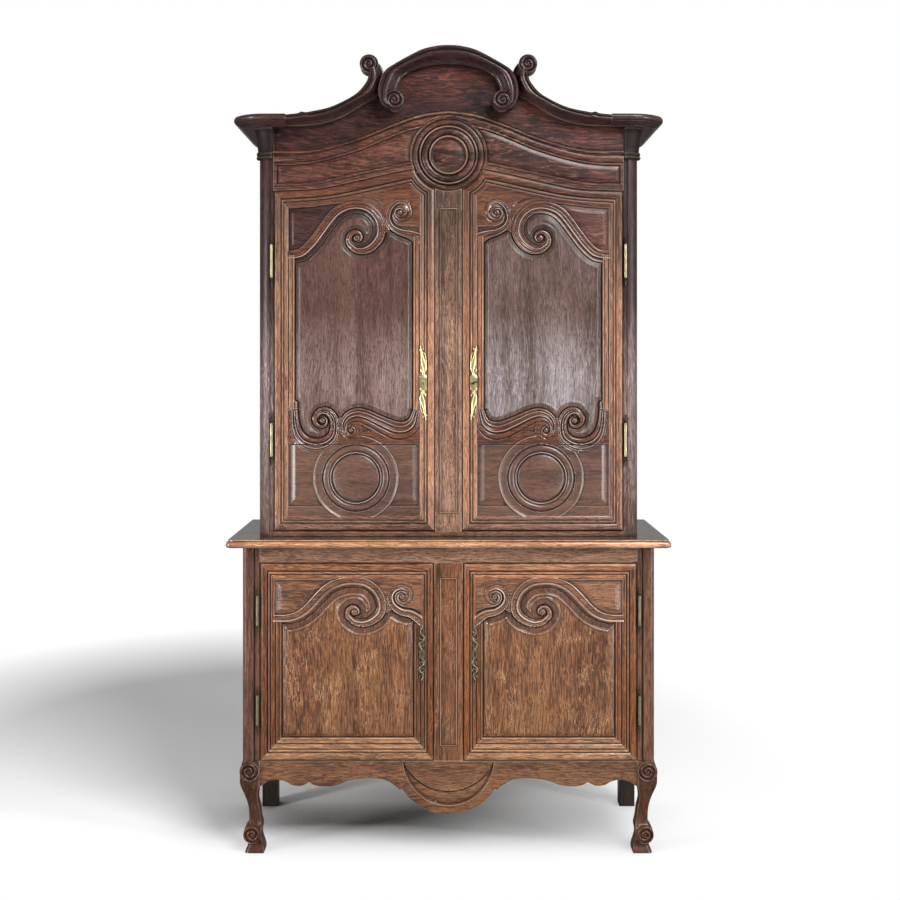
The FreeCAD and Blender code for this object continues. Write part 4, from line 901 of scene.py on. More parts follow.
def base_board():
    """Carved boards of the left base door: shaped top rail and panel."""
    xs = columns(BASE_LEFT - LAP, BASE_RIGHT + LAP, FINE)
    low = np.r_[columns(BASE_FOOT + 12, BASE_PLAIN[0], FINE), columns(*BASE_PLAIN)[1:]]
    x, z = grid(xs, low, lambda at: np.full(at.shape, BASE_TOP + LAP))
    strokes = [Stroke(BASE_BAND, BASE_EYE, 1.35, -1), Stroke(BASE_TAIL, BASE_TAIL_EYE, 1.4, -1)]
    met = [(stroke.measure(x, z), FILLET_BAND) for stroke in strokes]
    edge = middle_line(BASE_BAND[:13]) + [(-186, 724), (-165, 736)] + middle_line(BASE_TAIL[3::-1])
    above = inside(x, z, edge + [(-40, 980), (-560, 980)])
    gaps = np.min([m[0] for m, _ in met], axis=0)
    left, right, foot = BASE_LEFT + INNER_WIDTH, BASE_RIGHT - INNER_WIDTH, BASE_FOOT + INNER_WIDTH + 1
    side = np.minimum.reduce([x - left, right - x, z - foot])
    framed = raised(np.maximum(side, 0), 0.4, 13.0, 10.5, 6.5)
    depth = np.where(side < gaps, framed, raised(np.maximum(gaps, 0), 3.0, BASE_BEVEL, 11.0, 6.5))
    depth = np.where(above, RAIL_DEPTH, depth)
    tip = np.minimum.reduce([x - (BASE_LEFT - 1), BASE_TOP - 1 - z, met[0][0][0]])
    depth = np.where(above & (x < BASE_TIP_END), spandrel(depth, tip), depth)
    depth = carve(depth, met)
    for centre, radius in ((BASE_EYE, 9.5), (BASE_TAIL_EYE, 8)):
        depth = cut_eye(depth, x, z, centre, radius)
    shaped = (above | (gaps < 1))[:-1, :-1]
    # Bevels beside the bands take the darker wood: painted shade
    bevel = ((gaps < BASE_BEVEL - 4) & (side > gaps))[:-1, :-1]
    marks = np.where(shaped, 1, np.where(bevel, 2, 0))
    return slab(x, z, BASE_FACE + depth, BASE_FACE + CARVED_BOARD, marks)


def door_shells():
    """Frame and board of each left-hand door."""
    upper = [moulded_frame(*upper_outlines(), UPPER_FACE)]
    for edge, field, high in ((SIGHT_LEFT, FIELD_LEFT, 1800), (SIGHT_RIGHT, FIELD_RIGHT, 1858)):
        outside = [(edge, MOULDING_FOOT), (edge, high)]
        within = [(field, MOULDING_FOOT), (field, high)]
        upper.append(inner_moulding(outside, within, (0,), UPPER_FACE))
    base = [moulded_frame(*base_outlines(), BASE_FACE)]
    edges = []
    for inset in (0, INNER_WIDTH):
        left, right, foot = BASE_LEFT + inset, BASE_RIGHT - inset, BASE_FOOT + inset
        edges.append([(left, 704), (left, foot), (right, foot), (right, 690)])
    base.append(inner_moulding(*edges, (0, 1, 0), BASE_FACE))
    return {"upper": (upper, [upper_board()]), "base": (base, [base_board()])}


LOOKS = {
    "upper": (
        [upper_upright, upper_level, upper_head],
        [upper_panel, lower_panel, upper_carved, upper_bevel_shade, upper_spandrel],
    ),
    "base": ([base_upright, base_level_sheen, base_head], [base_panel, base_carved, base_bevel_shade]),
}
for level, (frame_shells, board_shells) in door_shells().items():
    frame_looks, board_looks = LOOKS[level]
    for side in SIDES:
        door = f"{level}_{side}_door"
        shells = on_side(frame_shells, side)
        make(f"{door}_moulded_frame", shells, frame_looks, door, [f"{door}_frame"])
        shells = on_side(board_shells, side)
        make(f"{door}_carved_board", shells, board_looks, door, [f"{door}_panel"], CARVED)

# Frieze over the upper doors

FRIEZE_HALF = 530.5
# Half width of the part that follows the medallion's lower edge
FRIEZE_CUSP = 103.5
FRIEZE_TOP = [
    (-530.5, 2200), (-489.5, 2200), (-405, 2204), (-340, 2220), (-295, 2243), (-250, 2273), (-211, 2289),
    (-133, 2351), (-98, 2370), (-54, 2381), (0, 2385),
]
TORUS_TOP = [(-531, 2121), (-411, 2122), (-277, 2157), (-166, 2201), (-77, 2231), (0, 2240)]
SUNK_TOP = [(-531, 2071), (-411, 2080), (-277, 2116), (-166, 2161), (-99, 2183), (0, 2200)]
SUNK_LOW = [(-531, 2016), (-411, 2021), (-277, 2049), (-166, 2072), (-113, 2082), (0, 2090)]
# Depths down the moulding under the cornice, in from the edge of a sunk field and out over the medallion
FRIEZE_MOULDING = (
    [(-0.02, 0), (0, 2.8), (0.06, 2.8)] + arc(0.08, 0.26, 0.5, 3.0, 7) + [(0.30, 2.4), (0.34, 2.4)]
    + arc(0.36, 0.80, 0.8, 4.2, 9) + [(0.84, 2.8), (0.88, 0.4), (0.97, 0.4), (1, 3)]
)
SUNK_FIELD = ((0, 6.5), (1, 6.5), (2.5, 5.6), (12, 3.2), (13.5, 2.2))
DISC_RADIUS = 118.0
DISC_RINGS = (
    [(0, 4.6), (24, 5.0), (36, 6.4), (46, 7.6), (52, 7.0)] + arc(53, 60, 3.0, 6.0, 9)
    + [(61, 5.0), (62.5, 5.0)] + arc(63.5, 81, 2.0, 4.0, 11) + [(82, 3.4)] + arc(83, 89.5, 1.6, 5.6, 9)
    + [(90.5, 5.0), (92.5, 5.0)] + arc(93.5, 107, 2.6, 3.4, 9)
    + [(108, 4.6), (110, 4.6), (111.5, 0.6), (117, 0.2)]
)


def curve_at(x, points):
    """Height of a symmetric curve given on the left."""
    path = spline(points)
    return np.interp(-np.abs(x), path[:, 0], path[:, 1])


def frieze_board():
    """The frieze board: a moulding, a sunk field on each side and the medallion between them."""
    xs = columns(-FRIEZE_HALF, FRIEZE_HALF, 2.0)
    low = head(-np.abs(xs))
    round_low = np.minimum(below_circle(xs, MEDALLION_RADIUS), low)
    low = np.where(np.abs(xs) < FRIEZE_CUSP, round_low, low)
    x, z = stretched(xs, low, curve_at(xs, FRIEZE_TOP), 150)
    torus, sunk, sill = (curve_at(x, line) for line in (TORUS_TOP, SUNK_TOP, SUNK_LOW))
    r = np.hypot(x - MEDALLION[0], z - MEDALLION[1])

    v = (torus - z) / (torus - sunk)
    depth = np.where((v > -0.02) & (v <= 1), profile_at(v, FRIEZE_MOULDING), 0)
    d = np.minimum.reduce([sunk - z, z - sill, 522 - np.abs(x), r - DISC_RADIUS])
    depth = np.where(d > 0, profile_at(d, SUNK_FIELD), depth)
    sill_line = (z < sill) & (np.abs(sill - 8 - z) < 1.4)
    depth = np.where(sill_line, 2.6, depth)
    depth = np.where(r < DISC_RADIUS, profile_at(r, DISC_RINGS), depth)
    # The dark frieze wood goes above the torus, under the cornice: stain and painted shade
    marks = np.where(z < torus, 1, 0)[:-1, :-1]
    return slab(x, z, UPPER_FRONT + depth, UPPER_FRONT + BOARD, marks, 1)


make(
    "frieze_board_carved", [frieze_board()], [frieze_oak, frieze_panel], "upper_cabinet",
    ["frieze_board"], CARVED,
)

# Cornice

SWAN_TOP = [
    (-489.3, 2215), (-452, 2219), (-440, 2224), (-428, 2222), (-414, 2224), (-362, 2235), (-318, 2253),
    (-274, 2279), (-247, 2310), (-239, 2330), (-236, 2345),
]
SWAN_LOW = [
    (-489.3, 2190), (-405, 2194), (-340, 2210), (-295, 2232), (-250, 2260), (-224, 2275), (-206, 2290),
    (-197, 2312), (-191, 2338), (-199, 2362), (-209, 2376),
]
ARCH_TOP = [
    (0, 2423), (-32, 2421), (-76, 2411), (-120, 2390), (-164, 2365), (-188, 2348), (-201, 2326),
    (-208, 2302), (-209, 2278), (-203, 2256), (-192, 2241), (-176, 2234),
]
ARCH_LOW = [
    (0, 2375), (-28, 2374), (-54, 2371), (-98, 2360), (-133, 2341), (-148, 2318), (-157, 2298),
    (-162, 2288), (-168, 2280), (-171, 2270), (-171, 2262), (-168, 2256),
]
CROWN_MOULDING = (
    [(0, -3.0), (0.0, 0.0), (0.13, 0.0), (0.15, 4.0), (0.19, 4.0)] + arc(0.20, 0.58, 7.0, 8.0, 9)
    + [(0.61, 10.0), (0.64, 12.0), (0.69, 19.0), (0.76, 26.0), (0.84, 31.0), (0.90, 33.0), (0.91, 38.0)]
    + [(1.0, 40.0)]
)
# Radius of a scroll's end, and how much of it one turn of the spiral takes
VOLUTE = 28.0
PITCH = 12.5


def crown(tops, lows, count):
    """A cornice moulding between its upper and lower edge, fixed on the frieze board."""
    top, low = spread(spline(tops), count), spread(spline(lows), count)
    share = np.array([s for s, _ in CROWN_MOULDING] + [1, 0])
    place = np.array([CORNICE_FACE + d for _, d in CROWN_MOULDING] + [UPPER_FRONT, UPPER_FRONT])
    flat = top[:, None] + share[None, :, None] * (low - top)[:, None]
    return np.stack([flat[..., 0], np.broadcast_to(place, flat.shape[:2]), flat[..., 1]], axis=-1)


def roll(centre, radius, front, back, begin=0.0, proud=7.0, mark=0):
    """The end of a scroll: a short round bar with a spiral cut in its face."""
    angle = np.linspace(0, 2 * math.pi, 72, endpoint=False)
    rings = []
    for share in np.r_[np.linspace(0.02, 0.97, 30), 1.0]:
        r = share * radius
        turn = r / PITCH - (angle - begin) / (2 * math.pi)
        ridge = np.abs(np.sin(math.pi * turn))**0.7 * smooth(np.full(angle.shape, r), 3.0, 7.0)
        bead = 1 - smooth(np.full(angle.shape, r), 2.5, 7.0)
        y = front + proud - proud * np.maximum(ridge, bead) - 2.0 * (1 - share)
        if share == 1.0:
            y = np.full(angle.shape, front + proud)
        rings.append(np.stack([centre[0] + r * np.cos(angle), y, centre[1] + r * np.sin(angle)], axis=1))
    last = rings[-1].copy()
    last[:, 1] = back
    return loft(rings + [last], marks=mark)


swan = [loft(crown(SWAN_TOP, SWAN_LOW, 90)), roll((-238, 2369), VOLUTE, CORNICE_FACE, UPPER_FRONT)]
half_arch = crown(ARCH_TOP, ARCH_LOW, 90)
other_half = half_arch[:0:-1] * (-1, 1, 1)
scroll = roll((-162, 2261), VOLUTE, CORNICE_FACE, UPPER_FRONT, math.pi)
arch = [loft(np.concatenate([other_half, half_arch])), scroll, *mirrored([scroll])]
make("cornice_arch_moulded", arch, [cornice_oak], "upper_cabinet", ["cornice_arch"], CARVED)

# Outer edge and corner radius of a cornice end, its joint with the swan neck, and its inner side
END_OUTER = -656.0
END_CORNER = 105.0
END_JOINT = -489.5
END_INNER = -530.7
# Insets with heights, downwards
END_MOULDING = (
    (8, 2220), (3.5, 2218.6), (1.0, 2215), (0, 2210.5), (1.0, 2206), (3.5, 2202.5), (7, 2201),
    (8.5, 2200.6), (8.5, 2198), (11, 2197), (15, 2194), (20, 2190.6), (25, 2188.8), (27, 2188),
    (27, 2185),
)


def end_plan(inset):
    """Plan of the left cornice end, drawn in from its outer edge."""
    front, outer, corner = CORNICE_FACE + inset, END_OUTER + inset, END_CORNER - inset
    angle = np.linspace(-math.pi / 2, -math.pi, 24)
    bend = [(outer + corner + corner * math.cos(a), front + corner + corner * math.sin(a)) for a in angle]
    face = [(END_JOINT, front), (-491, front), (-500, front), (-530, front)]
    side = [(outer, 0.0), (outer, BACK - 10), (outer, BACK), (END_INNER, BACK), (END_INNER, UPPER_FRONT)]
    return [(END_JOINT, UPPER_FRONT)] + face + bend + side


end = [loft([[(x, y, z) for x, y in end_plan(inset)] for inset, z in END_MOULDING])]
# How far the capital stands out from the post, with heights
CAPITAL = (
    (5.0, 2092), (9.0, 2093.4), (10.6, 2097), (9.0, 2100.6), (6.0, 2101.4), (6.0, 2103), (8.6, 2104.2),
    (9.8, 2108), (8.6, 2111.8), (6.2, 2113), (5.6, 2115), (6.4, 2126), (8.2, 2142), (10.2, 2157),
    (12.4, 2169), (15.0, 2177), (15.6, 2178), (15.6, 2180), (17.0, 2181), (17.0, 2184.8), (0.2, 2184.8),
    (0.2, 2092),
)


def capital_rings():
    """The left capital, which clasps the post's rounded corner."""
    centre, radius = np.array([-543.0, -151.0]), 33.0
    angle = np.linspace(-math.pi / 2, -math.pi, 22)
    path = [((-533.0, centre[1]), (0, -1))]
    path += [(tuple(centre), (math.cos(a), math.sin(a))) for a in angle]
    path.append(((centre[0], -141.0), (-1, 0)))
    rings = []
    for (x, y), (nx, ny) in path:
        rings.append([(x + nx * (radius + out), y + ny * (radius + out), z) for out, z in CAPITAL])
    return rings


for side in SIDES:
    for part, shells, look in (("swan_neck", swan, cornice_oak), ("end", end, cornice_side)):
        node = f"cornice_{side}_{part}"
        own = on_side(shells, side)
        make(f"{node}_moulded", own, [look], "upper_cabinet", [node], CARVED)
capital = [loft(capital_rings())]
capitals = capital + mirrored(capital)
make("capitals_turned", capitals, [capital_oak], "upper_cabinet", ["capitals"])

# Centre stiles with a sunk panel

SUNK_PANEL = ((0, 0), (1.5, 4.5), (3.0, 1.0), (4.5, 0.6), (6.0, 5.5), (7.5, 6.0))


def stile(half, low, top, panel, front):
    """An upright between two doors: panel gives the half width, foot and head of its sunk field."""
    width, foot, crest = panel
    steps = (-2.0, 0, 1.5, 3.0, 4.5, 6.0, 7.5, 9.5)
    xs = np.r_[-half, -half + 1.2, [-width + s for s in steps], 0]
    xs = np.r_[xs, -xs[-2::-1]]
    lowest = [low, low + 1.5, low + 12]
    rows = np.array([*lowest, *[foot + s for s in steps], *[crest - s for s in steps[::-1]]])
    highest = top(xs)[:, None] - (12, 1.5, 0)
    z = np.concatenate([np.repeat(rows[None], len(xs), axis=0), highest], axis=1)
    x = np.repeat(xs[:, None], z.shape[1], axis=1)
    d = np.minimum.reduce([width - np.abs(x), z - foot, crest - z])
    depth = np.where(np.abs(x) > half - 0.6, 0.8, profile_at(d, SUNK_PANEL))
    return slab(x, z, front + depth, front + BOARD)


base_stile = stile(43, 279, lambda x: np.full(x.shape, 874.0), (28, 320, 830), BASE_FRONT)
upper_stile = stile(
    40, 962, lambda x: below_circle(x, MEDALLION_RADIUS + 0.2), (30, 1014, 1945), UPPER_FRONT
)
STILES = {"base": (base_stile, base_stile_oak), "upper": (upper_stile, upper_stile_oak)}
for level, (shell, look) in STILES.items():
    node = f"{level}_centre_stile"
    make(f"{node}_panelled", [shell], [look], f"{level}_cabinet", [node])

# Apron with its crescent

APRON_EDGE = [
    (-567, 202), (-560, 205), (-543, 216), (-517, 222), (-490, 217), (-468, 206), (-442, 204), (-422, 213),
]
APRON_WAVE = [
    (-418, 215), (-402, 206), (-371, 202), (-336, 206), (-296, 220), (-252, 226), (-213, 226), (-186, 220),
    (-160, 204), (-147, 192),
]
APRON_TOP = 279.0
# Centre height and radius of the lobe, radius of the crescent in it, and the circle that cuts that off
LOBE = (282.0, 163.5)
CRESCENT = 135.0
CUT_OFF = (336.0, 147.0)
CRESCENT_COVE = ((0, 1.0), (1.5, 7.0), (5, 7.0), (7, 5.2), (24, 3.6), (40, 4.2))
CRESCENT_RIM = ((135, 0), (136.5, -1.8), (139, -1.2), (141, 0))
APRON_EDGE_ROUND = ((0, 2.6), (1.5, 0.8), (4.5, 0))


def apron_low(x):
    """Lower edge of the apron: waves on each side, a small step and the middle lobe."""
    path = np.vstack([spline(APRON_EDGE), spline(APRON_WAVE)])
    away = np.abs(x)
    edge = np.interp(-away, path[:, 0], path[:, 1])
    lobe = LOBE[0] - np.sqrt(np.maximum(LOBE[1]**2 - x**2, 0))
    stepped = np.where(away < 147, 192 + (147 - away) * 0.4, edge)
    return np.where(away < 137, lobe, stepped)


def apron_board():
    """The apron board with a crescent sunk into its lobe."""
    xs = columns(-567, 567, 2.1)
    low = apron_low(xs)
    x, z = stretched(xs, low, APRON_TOP, 72)
    r = np.hypot(x, z - LOBE[0])
    inner = np.hypot(x, z - CUT_OFF[0]) - CUT_OFF[1]
    depth = np.where((r < CRESCENT) & (inner > 0), profile_at(CRESCENT - r, CRESCENT_COVE), 0)
    depth = np.where((r >= CRESCENT) & (r < 141), profile_at(r, CRESCENT_RIM), depth)
    depth = np.where((r < CRESCENT) & (inner < 0) & (inner > -5), -0.9, depth)
    depth = np.where((r < CRESCENT - 2) & (inner > 0) & (inner < 3.5), 6.5, depth)
    depth += profile_at(z - low[:, None], APRON_EDGE_ROUND)
    return slab(x, z, BASE_FRONT + depth, BASE_FRONT + BOARD)


make("base_apron_carved", [apron_board()], [apron_oak], "base_cabinet", ["base_apron"], CARVED)

# Front posts of the base, each in one piece with its leg

# Heights with the places of the leg's face and back, inwards from the post's face
LEG_FACE = [
    (279, 0), (262, -5), (245, -7), (220, -8), (202, -5), (180, 3), (153, 11.5), (127, 16), (100, 17),
    (86, 14.5), (74, 5.5), (59, 2.5), (43, 3.5), (31, 11), (22, 13), (9, 8), (0, 5),
]
LEG_BACK = [
    (279, 51), (209, 51), (186, 46), (162, 44), (134, 49), (100, 53), (78, 57), (53, 54), (14, 63), (0, 63),
]
LEG_CORNER = ((0, 13), (30, 12), (60, 7), (250, 8), (279, 11))
# Depths of the line down the leg and of the reed on the post
LEG_LINE = ((4.5, 0), (6, 1.6), (8, 1.6), (9.5, 0))
POST_REED = ((32.6, 0), (33.4, 7.0), (37.0, 7.0), (37.8, 4.0), (51, 4.0))
LEG_TOP = 279
POST_LEFT = -618
POST_WIDTH = 51.0
# Place, radius and front of the scrolls on the leg
KNEE = (-597.0, 249.0, 29.0, BASE_FRONT - 13)
ANKLE = (-590.0, 57.0, 26.0, BASE_FRONT - 4)


def leg_line(points, z):
    """Place of the leg's face or back at a height."""
    path = spline(points)[::-1]
    return np.interp(z, path[:, 0], path[:, 1])


def post_and_leg():
    """Level rings up the left front leg and its post."""
    levels = np.r_[np.arange(0, 280, 1.9), 279.5, 281, 283, 400, 520, 640, 760, 918, 921.8]
    a = np.linspace(0, math.pi / 2, 8)[1:-1]
    rings = []
    for z in levels:
        if z <= LEG_TOP:
            face, back = leg_line(LEG_FACE, z), leg_line(LEG_BACK, z)
            corner = float(profile_at(z, LEG_CORNER))
            front_x = np.linspace(back - 1.5, face + corner, 26)
            cut = profile_at(back - front_x, LEG_LINE) * (80 < z < 215)
            last = face + 3
        else:
            face, back, corner, last = 0.0, POST_WIDTH, 11, 6.0
            front_x = np.r_[49.6, 45, 40, np.linspace(38.4, 32.2, 8), np.linspace(31, 11, 15)]
            cut = profile_at(front_x, POST_REED)
        deep = back + 9
        front = np.stack([front_x, face + cut], axis=1)
        bend = np.stack([face + corner - corner * np.sin(a), face + corner - corner * np.cos(a)], axis=1)
        side = np.stack([np.full(24, face), np.linspace(face + corner, deep - 3, 24)], axis=1)
        rear = [(face + 3, deep), (back - 3, deep), (back, deep - 3), (back, face + 14), (back, last)]
        plan = np.vstack([front, bend, side, rear])
        rings.append([(POST_LEFT + u, BASE_FRONT + v, z) for u, v in plan])
    return loft(rings, marks=np.where(levels[:-1] < LEG_TOP, 1, 0))


post = [post_and_leg()]
for x, z, radius, front in (KNEE, ANKLE):
    post.append(roll((x, z), radius, front, BASE_FRONT + 24, 0.0, 6.0, 1))
post_looks = [base_post, leg_oak]
for side in SIDES:
    node = f"base_{side}_front_post"
    make(f"{node}_carved", on_side(post, side), post_looks, "base_cabinet", [node], CARVED)

# Counter with its nosing

# Insets with heights, upwards
NOSING = (
    (7, 922), (3.2, 923.2), (0.9, 926.2), (0, 931), (0.6, 936), (2.4, 939.4), (5.0, 941.2), (8.8, 941.6),
    (8.8, 943.4), (6.8, 943.8), (6.8, 946.2), (7.6, 947),
)


def counter_plan(inset):
    """Plan of the counter with its two rounded corners, drawn in from its edge."""
    half, front, corner = 664 - inset, -BACK + inset, 14.0
    points = [(-half, BACK)]
    for sign, start in ((-1, math.pi), (1, 1.5 * math.pi)):
        middle = (sign * (half - corner), front + corner)
        angle = np.linspace(start, start + math.pi / 2, 9)
        points += [(middle[0] + corner * math.cos(a), middle[1] + corner * math.sin(a)) for a in angle]
    return points + [(half, BACK)]


# The counter's top takes the greyer wood: painted reflection
counter_marks = [0] * (len(NOSING) - 2) + [1]
counter = [loft([[(x, y, z) for x, y in counter_plan(inset)] for inset, z in NOSING], marks=counter_marks)]
counter_looks = [counter_oak, counter_top_sheen]
make("counter_top_moulded", counter, counter_looks, "base_cabinet", ["counter_top"])

# Hinges

# Radius of the barrel, and the turned knobs at its end as heights with radii
BARREL = 4.4
KNOB_ROWS = 19
FINIAL = (
    (-27.0, 0.4), (-26.4, 1.6), (-24.6, 2.4), (-22.8, 1.8), (-22.0, 1.2), (-20.6, 1.3), (-19.6, 2.6),
    (-17.4, 3.2), (-15.2, 2.6), (-14.2, 1.5), (-12.8, 1.5), (-11.6, 2.8), (-9.2, 3.7), (-6.8, 2.8),
    (-5.8, 1.7), (-4.6, 1.8), (-3.6, 3.4), (-2.0, 4.2), (-0.8, 3.4), (-0.2, 3.4), (0, BARREL),
    (2.4, BARREL), (2.8, 3.9), (3.6, 3.9), (4.0, BARREL),
)
# Axis, length of the barrel, heights of its middles, front of the post and metal
HINGES = {
    "base": (-573.0, -233.5, 88.0, (432, 731), BASE_FRONT, dull_brass),
    "upper": (-536.5, -188.5, 100.0, (1240, 1782), UPPER_FRONT, hinge_brass),
}
for level, (x, y, barrel, heights, front, look) in HINGES.items():
    post_half, door_half = [], []
    for middle in heights:
        foot, top = middle - barrel / 2, middle + barrel / 2
        lower = [(foot + dz, r) for dz, r in FINIAL]
        lower += [(middle - 0.6, BARREL), (middle - 0.1, 4.0)]
        upper = [(middle + 0.3, 4.0), (middle + 0.8, BARREL)]
        upper += [(top - dz, r) for dz, r in FINIAL[::-1]]
        dark_ends = (np.arange(len(lower) - 1) < KNOB_ROWS).astype(int)
        post_half.append(turned(x, y, lower, dark_ends))
        door_half.append(turned(x, y, upper, dark_ends[::-1]))
        post_half.append(block((x - 1.2, y, foot + 5), (x + 1.2, front + 25, middle - 5), 0.3))
        door_half.append(block((x - 1.0, y, middle + 5), (x + 1.0, front + 8, top - 5), 0.3))
        door_half.append(block((x - 1.0, front + 7, middle + 5), (x + 30, front + 9, top - 5), 0.3))
    node, looks = f"{level}_hinge_pins", [look, dark_brass]
    shells = post_half + mirrored(post_half)
    make(f"{node}_turned", shells, looks, f"{level}_cabinet", [node])
    for side in SIDES:
        door = f"{level}_{side}_door"
        shells = on_side(door_half, side)
        make(f"{door}_hinge_turned", shells, looks, door, [f"{door}_hinge_leaves"])

# Keyhole plates: a small plate, its keyhole backed by a dark sheet of painted shade, leaf scrolls above and
# below


def ribbon(points, widths, face, height=2.4):
    """A half-round scroll of metal along a path, its half widths given from start to end."""
    path = spread(spline(points, 1.0), 26)
    half = np.interp(np.linspace(0, 1, 26), np.linspace(0, 1, len(widths)), widths)
    tangent = np.gradient(path, axis=0)
    tangent /= np.linalg.norm(tangent, axis=1)[:, None]
    across = np.stack([-tangent[:, 1], tangent[:, 0]], axis=1)
    angle = np.linspace(0, math.pi, 9)
    rings = []
    for place, side, w in zip(path, across, half):
        rise = min(height, 0.9 * w + 0.6)
        ring = [(*(place + side * w * math.cos(a)), face - rise * math.sin(a)) for a in angle]
        ring += [(*(place - side * w), face + 1.4), (*(place + side * w), face + 1.4)]
        rings.append([(px, y, pz) for px, pz, y in ring])
    return loft(rings)


def knob(x, z, radius, face):
    """A small round boss at the tip of a scroll."""
    angle = np.linspace(0, 2 * math.pi, 14, endpoint=False)
    rings = []
    for share, y in ((1.0, 1.4), (1.0, -0.2), (0.86, -1.2), (0.55, -1.9), (0.1, -2.2)):
        r = radius * share
        rings.append([(x + r * math.cos(a), face + y, z + r * math.sin(a)) for a in angle])
    return loft(rings)


def key_plate(half, tall, chamfer, face):
    """A plate with cut corners, pierced by a keyhole."""
    corners = [(half, tall - chamfer), (half - chamfer, tall)]
    corners += [(chamfer - half, tall), (-half, tall - chamfer)]
    corners += [(-px, -pz) for px, pz in corners]
    outline = spread(np.array(corners + corners[:1], float), 65)[:-1]
    angle = np.arctan2(outline[:, 1], outline[:, 0])
    hole = np.stack([2.1 * np.cos(angle), 2.1 * np.sin(angle) + 2.4], axis=1)
    drop = np.interp(np.sin(angle), (-1, -0.3), (-6.4, 1.0))
    slot = np.stack([1.1 * np.sign(np.cos(angle)), drop], axis=1)
    hole = np.where((angle < -0.35)[:, None] & (angle > -2.8)[:, None], slot, hole)
    rings = [(outline, 1.4), (outline, -0.9), (outline * 0.94, -1.6)]
    rings += [(hole * 1.3, -1.6), (hole, -1.1), (hole, 1.4)]
    return loft([[(px, face + y, pz) for px, pz in ring] for ring, y in rings], closed=True)


# Scrolls above the keyhole, as places with half widths; those below are turned upside down
UPPER_LEAVES = [
    ([(0, 23), (1, 29), (4, 37), (4, 46), (1, 60), (-2, 74), (-4, 88), (-6, 99), (-8, 111)],
     (4.5, 3.6, 6.5, 7.6, 6.2, 4.6, 3.4, 2.6, 1.4)),
    ([(3, 30), (-3, 32), (-7, 37), (-7, 41)], (2.0, 2.6, 3.0, 2.0)),
    ([(-4, 92), (3, 90), (7, 80), (9, 66), (9, 54)], (1.3, 1.3, 1.2, 1.1, 0.9)),
    ([(-5, 97), (-10, 98), (-11, 102)], (2.0, 1.8, 1.2)),
    ([(-5, 100), (0, 102), (1, 106)], (1.8, 1.6, 1.0)),
]
BASE_LEAVES = [
    ([(0, 12), (-4, 18), (-7, 25), (-5, 33), (2, 38), (7, 44), (6, 52), (0, 57), (-4, 63), (-3, 71),
      (2, 78), (2, 87)],
     (3.4, 3.2, 3.6, 3.2, 3.4, 3.4, 3.0, 3.0, 2.8, 2.4, 2.0, 1.0)),
    ([(-6, 28), (-1, 24), (4, 24), (6, 29), (3, 33)], (1.8, 1.8, 1.7, 1.5, 1.1)),
    ([(6, 48), (1, 45), (-5, 44), (-7, 49), (-4, 53)], (1.8, 1.8, 1.7, 1.5, 1.1)),
    ([(-4, 64), (1, 63), (6, 66), (6, 71)], (1.6, 1.6, 1.4, 1.0)),
    ([(1, 76), (-4, 78), (-6, 83)], (1.5, 1.3, 0.9)),
]
# Place of the keyhole, face of the door, sizes of the plate, scrolls, height of their tip and metal
PLATES = {
    "upper": (-76.5, 1413.0, UPPER_FACE, (11, 25, 5.5), UPPER_LEAVES, 113, bright_brass),
    "base": (-79.5, 600.0, BASE_FACE, (8.5, 13, 2.5), BASE_LEAVES, 88, dull_brass),
}
for level, (x, z, face, sizes, leaves, tip, look) in PLATES.items():
    shells = [key_plate(*sizes, face)]
    for way in (1, -1):
        for points, widths in leaves:
            shells.append(ribbon(np.asarray(points, float) * way, widths, face))
        shells.append(knob(leaves[0][0][-1][0] * way, (tip - 1.5) * way, 2.0, face))
    # Painted shade: a dark iron sheet behind the keyhole darkens the hole
    points, faces, marks = block((-3, face + 0.6, -8), (3, face + 1.8, 6), 0.3)
    shells.append((points, faces, [1] * len(marks)))
    placed = [(points + (x, 0, z), faces, marks) for points, faces, marks in shells]
    for side in SIDES:
        door = f"{level}_{side}_door"
        node = f"{door}_keyhole_plate"
        make(f"{node}_cast", on_side(placed, side), [look, iron], door, [node])

# Solids that stay as they are, with eased edges

KEPT = {
    "base_top_rail": rail_oak, "base_side_rails": side_level, "base_side_panels": side_upright,
    "base_rear_posts": rear_post, "base_back": inner_upright, "base_floor": inner_level,
    "base_shelf": inner_level, "base_bearers": inner_deep, "locating_pegs": inner_upright,
    "upper_left_front_post": upper_post, "upper_right_front_post": upper_post,
    "upper_rear_posts": upper_post, "upper_bottom_rail": rail_oak, "upper_side_rails": side_level,
    "upper_side_panels": side_upright, "upper_back": inner_upright, "upper_floor": inner_level,
    "upper_roof": inner_level, "upper_shelves": inner_level, "upper_bearers": inner_deep,
    "upper_right_key": iron,
}
for level in ("base", "upper"):
    for side in SIDES:
        for part in ("lock_case", "bolt"):
            KEPT[f"{level}_{side}_door_{part}"] = iron
for name, material in KEPT.items():
    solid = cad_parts[name]
    solid.data.materials.clear()
    solid.data.materials.append(material)
    weld = solid.modifiers.new("weld", "WELD")
    weld.merge_threshold = 1e-5
    ease = solid.modifiers.new("ease", "BEVEL")
    ease.width = 0.0004 if material is iron else 0.0012
    ease.segments = 2
    ease.limit_method = "ANGLE"
    ease.angle_limit = math.radians(40)
    ease.harden_normals = True

# Stage, light and camera

FLOOR_HALF = 14.0
# Tones of the floor, in the shade of the object, and as the wax mirrors it
FLOOR_TONES = ("f6f6f6", "f9f9f9")
FLOOR_SHADE = "3c3c3c"
FLOOR_MIRRORED = "7c7c7c"


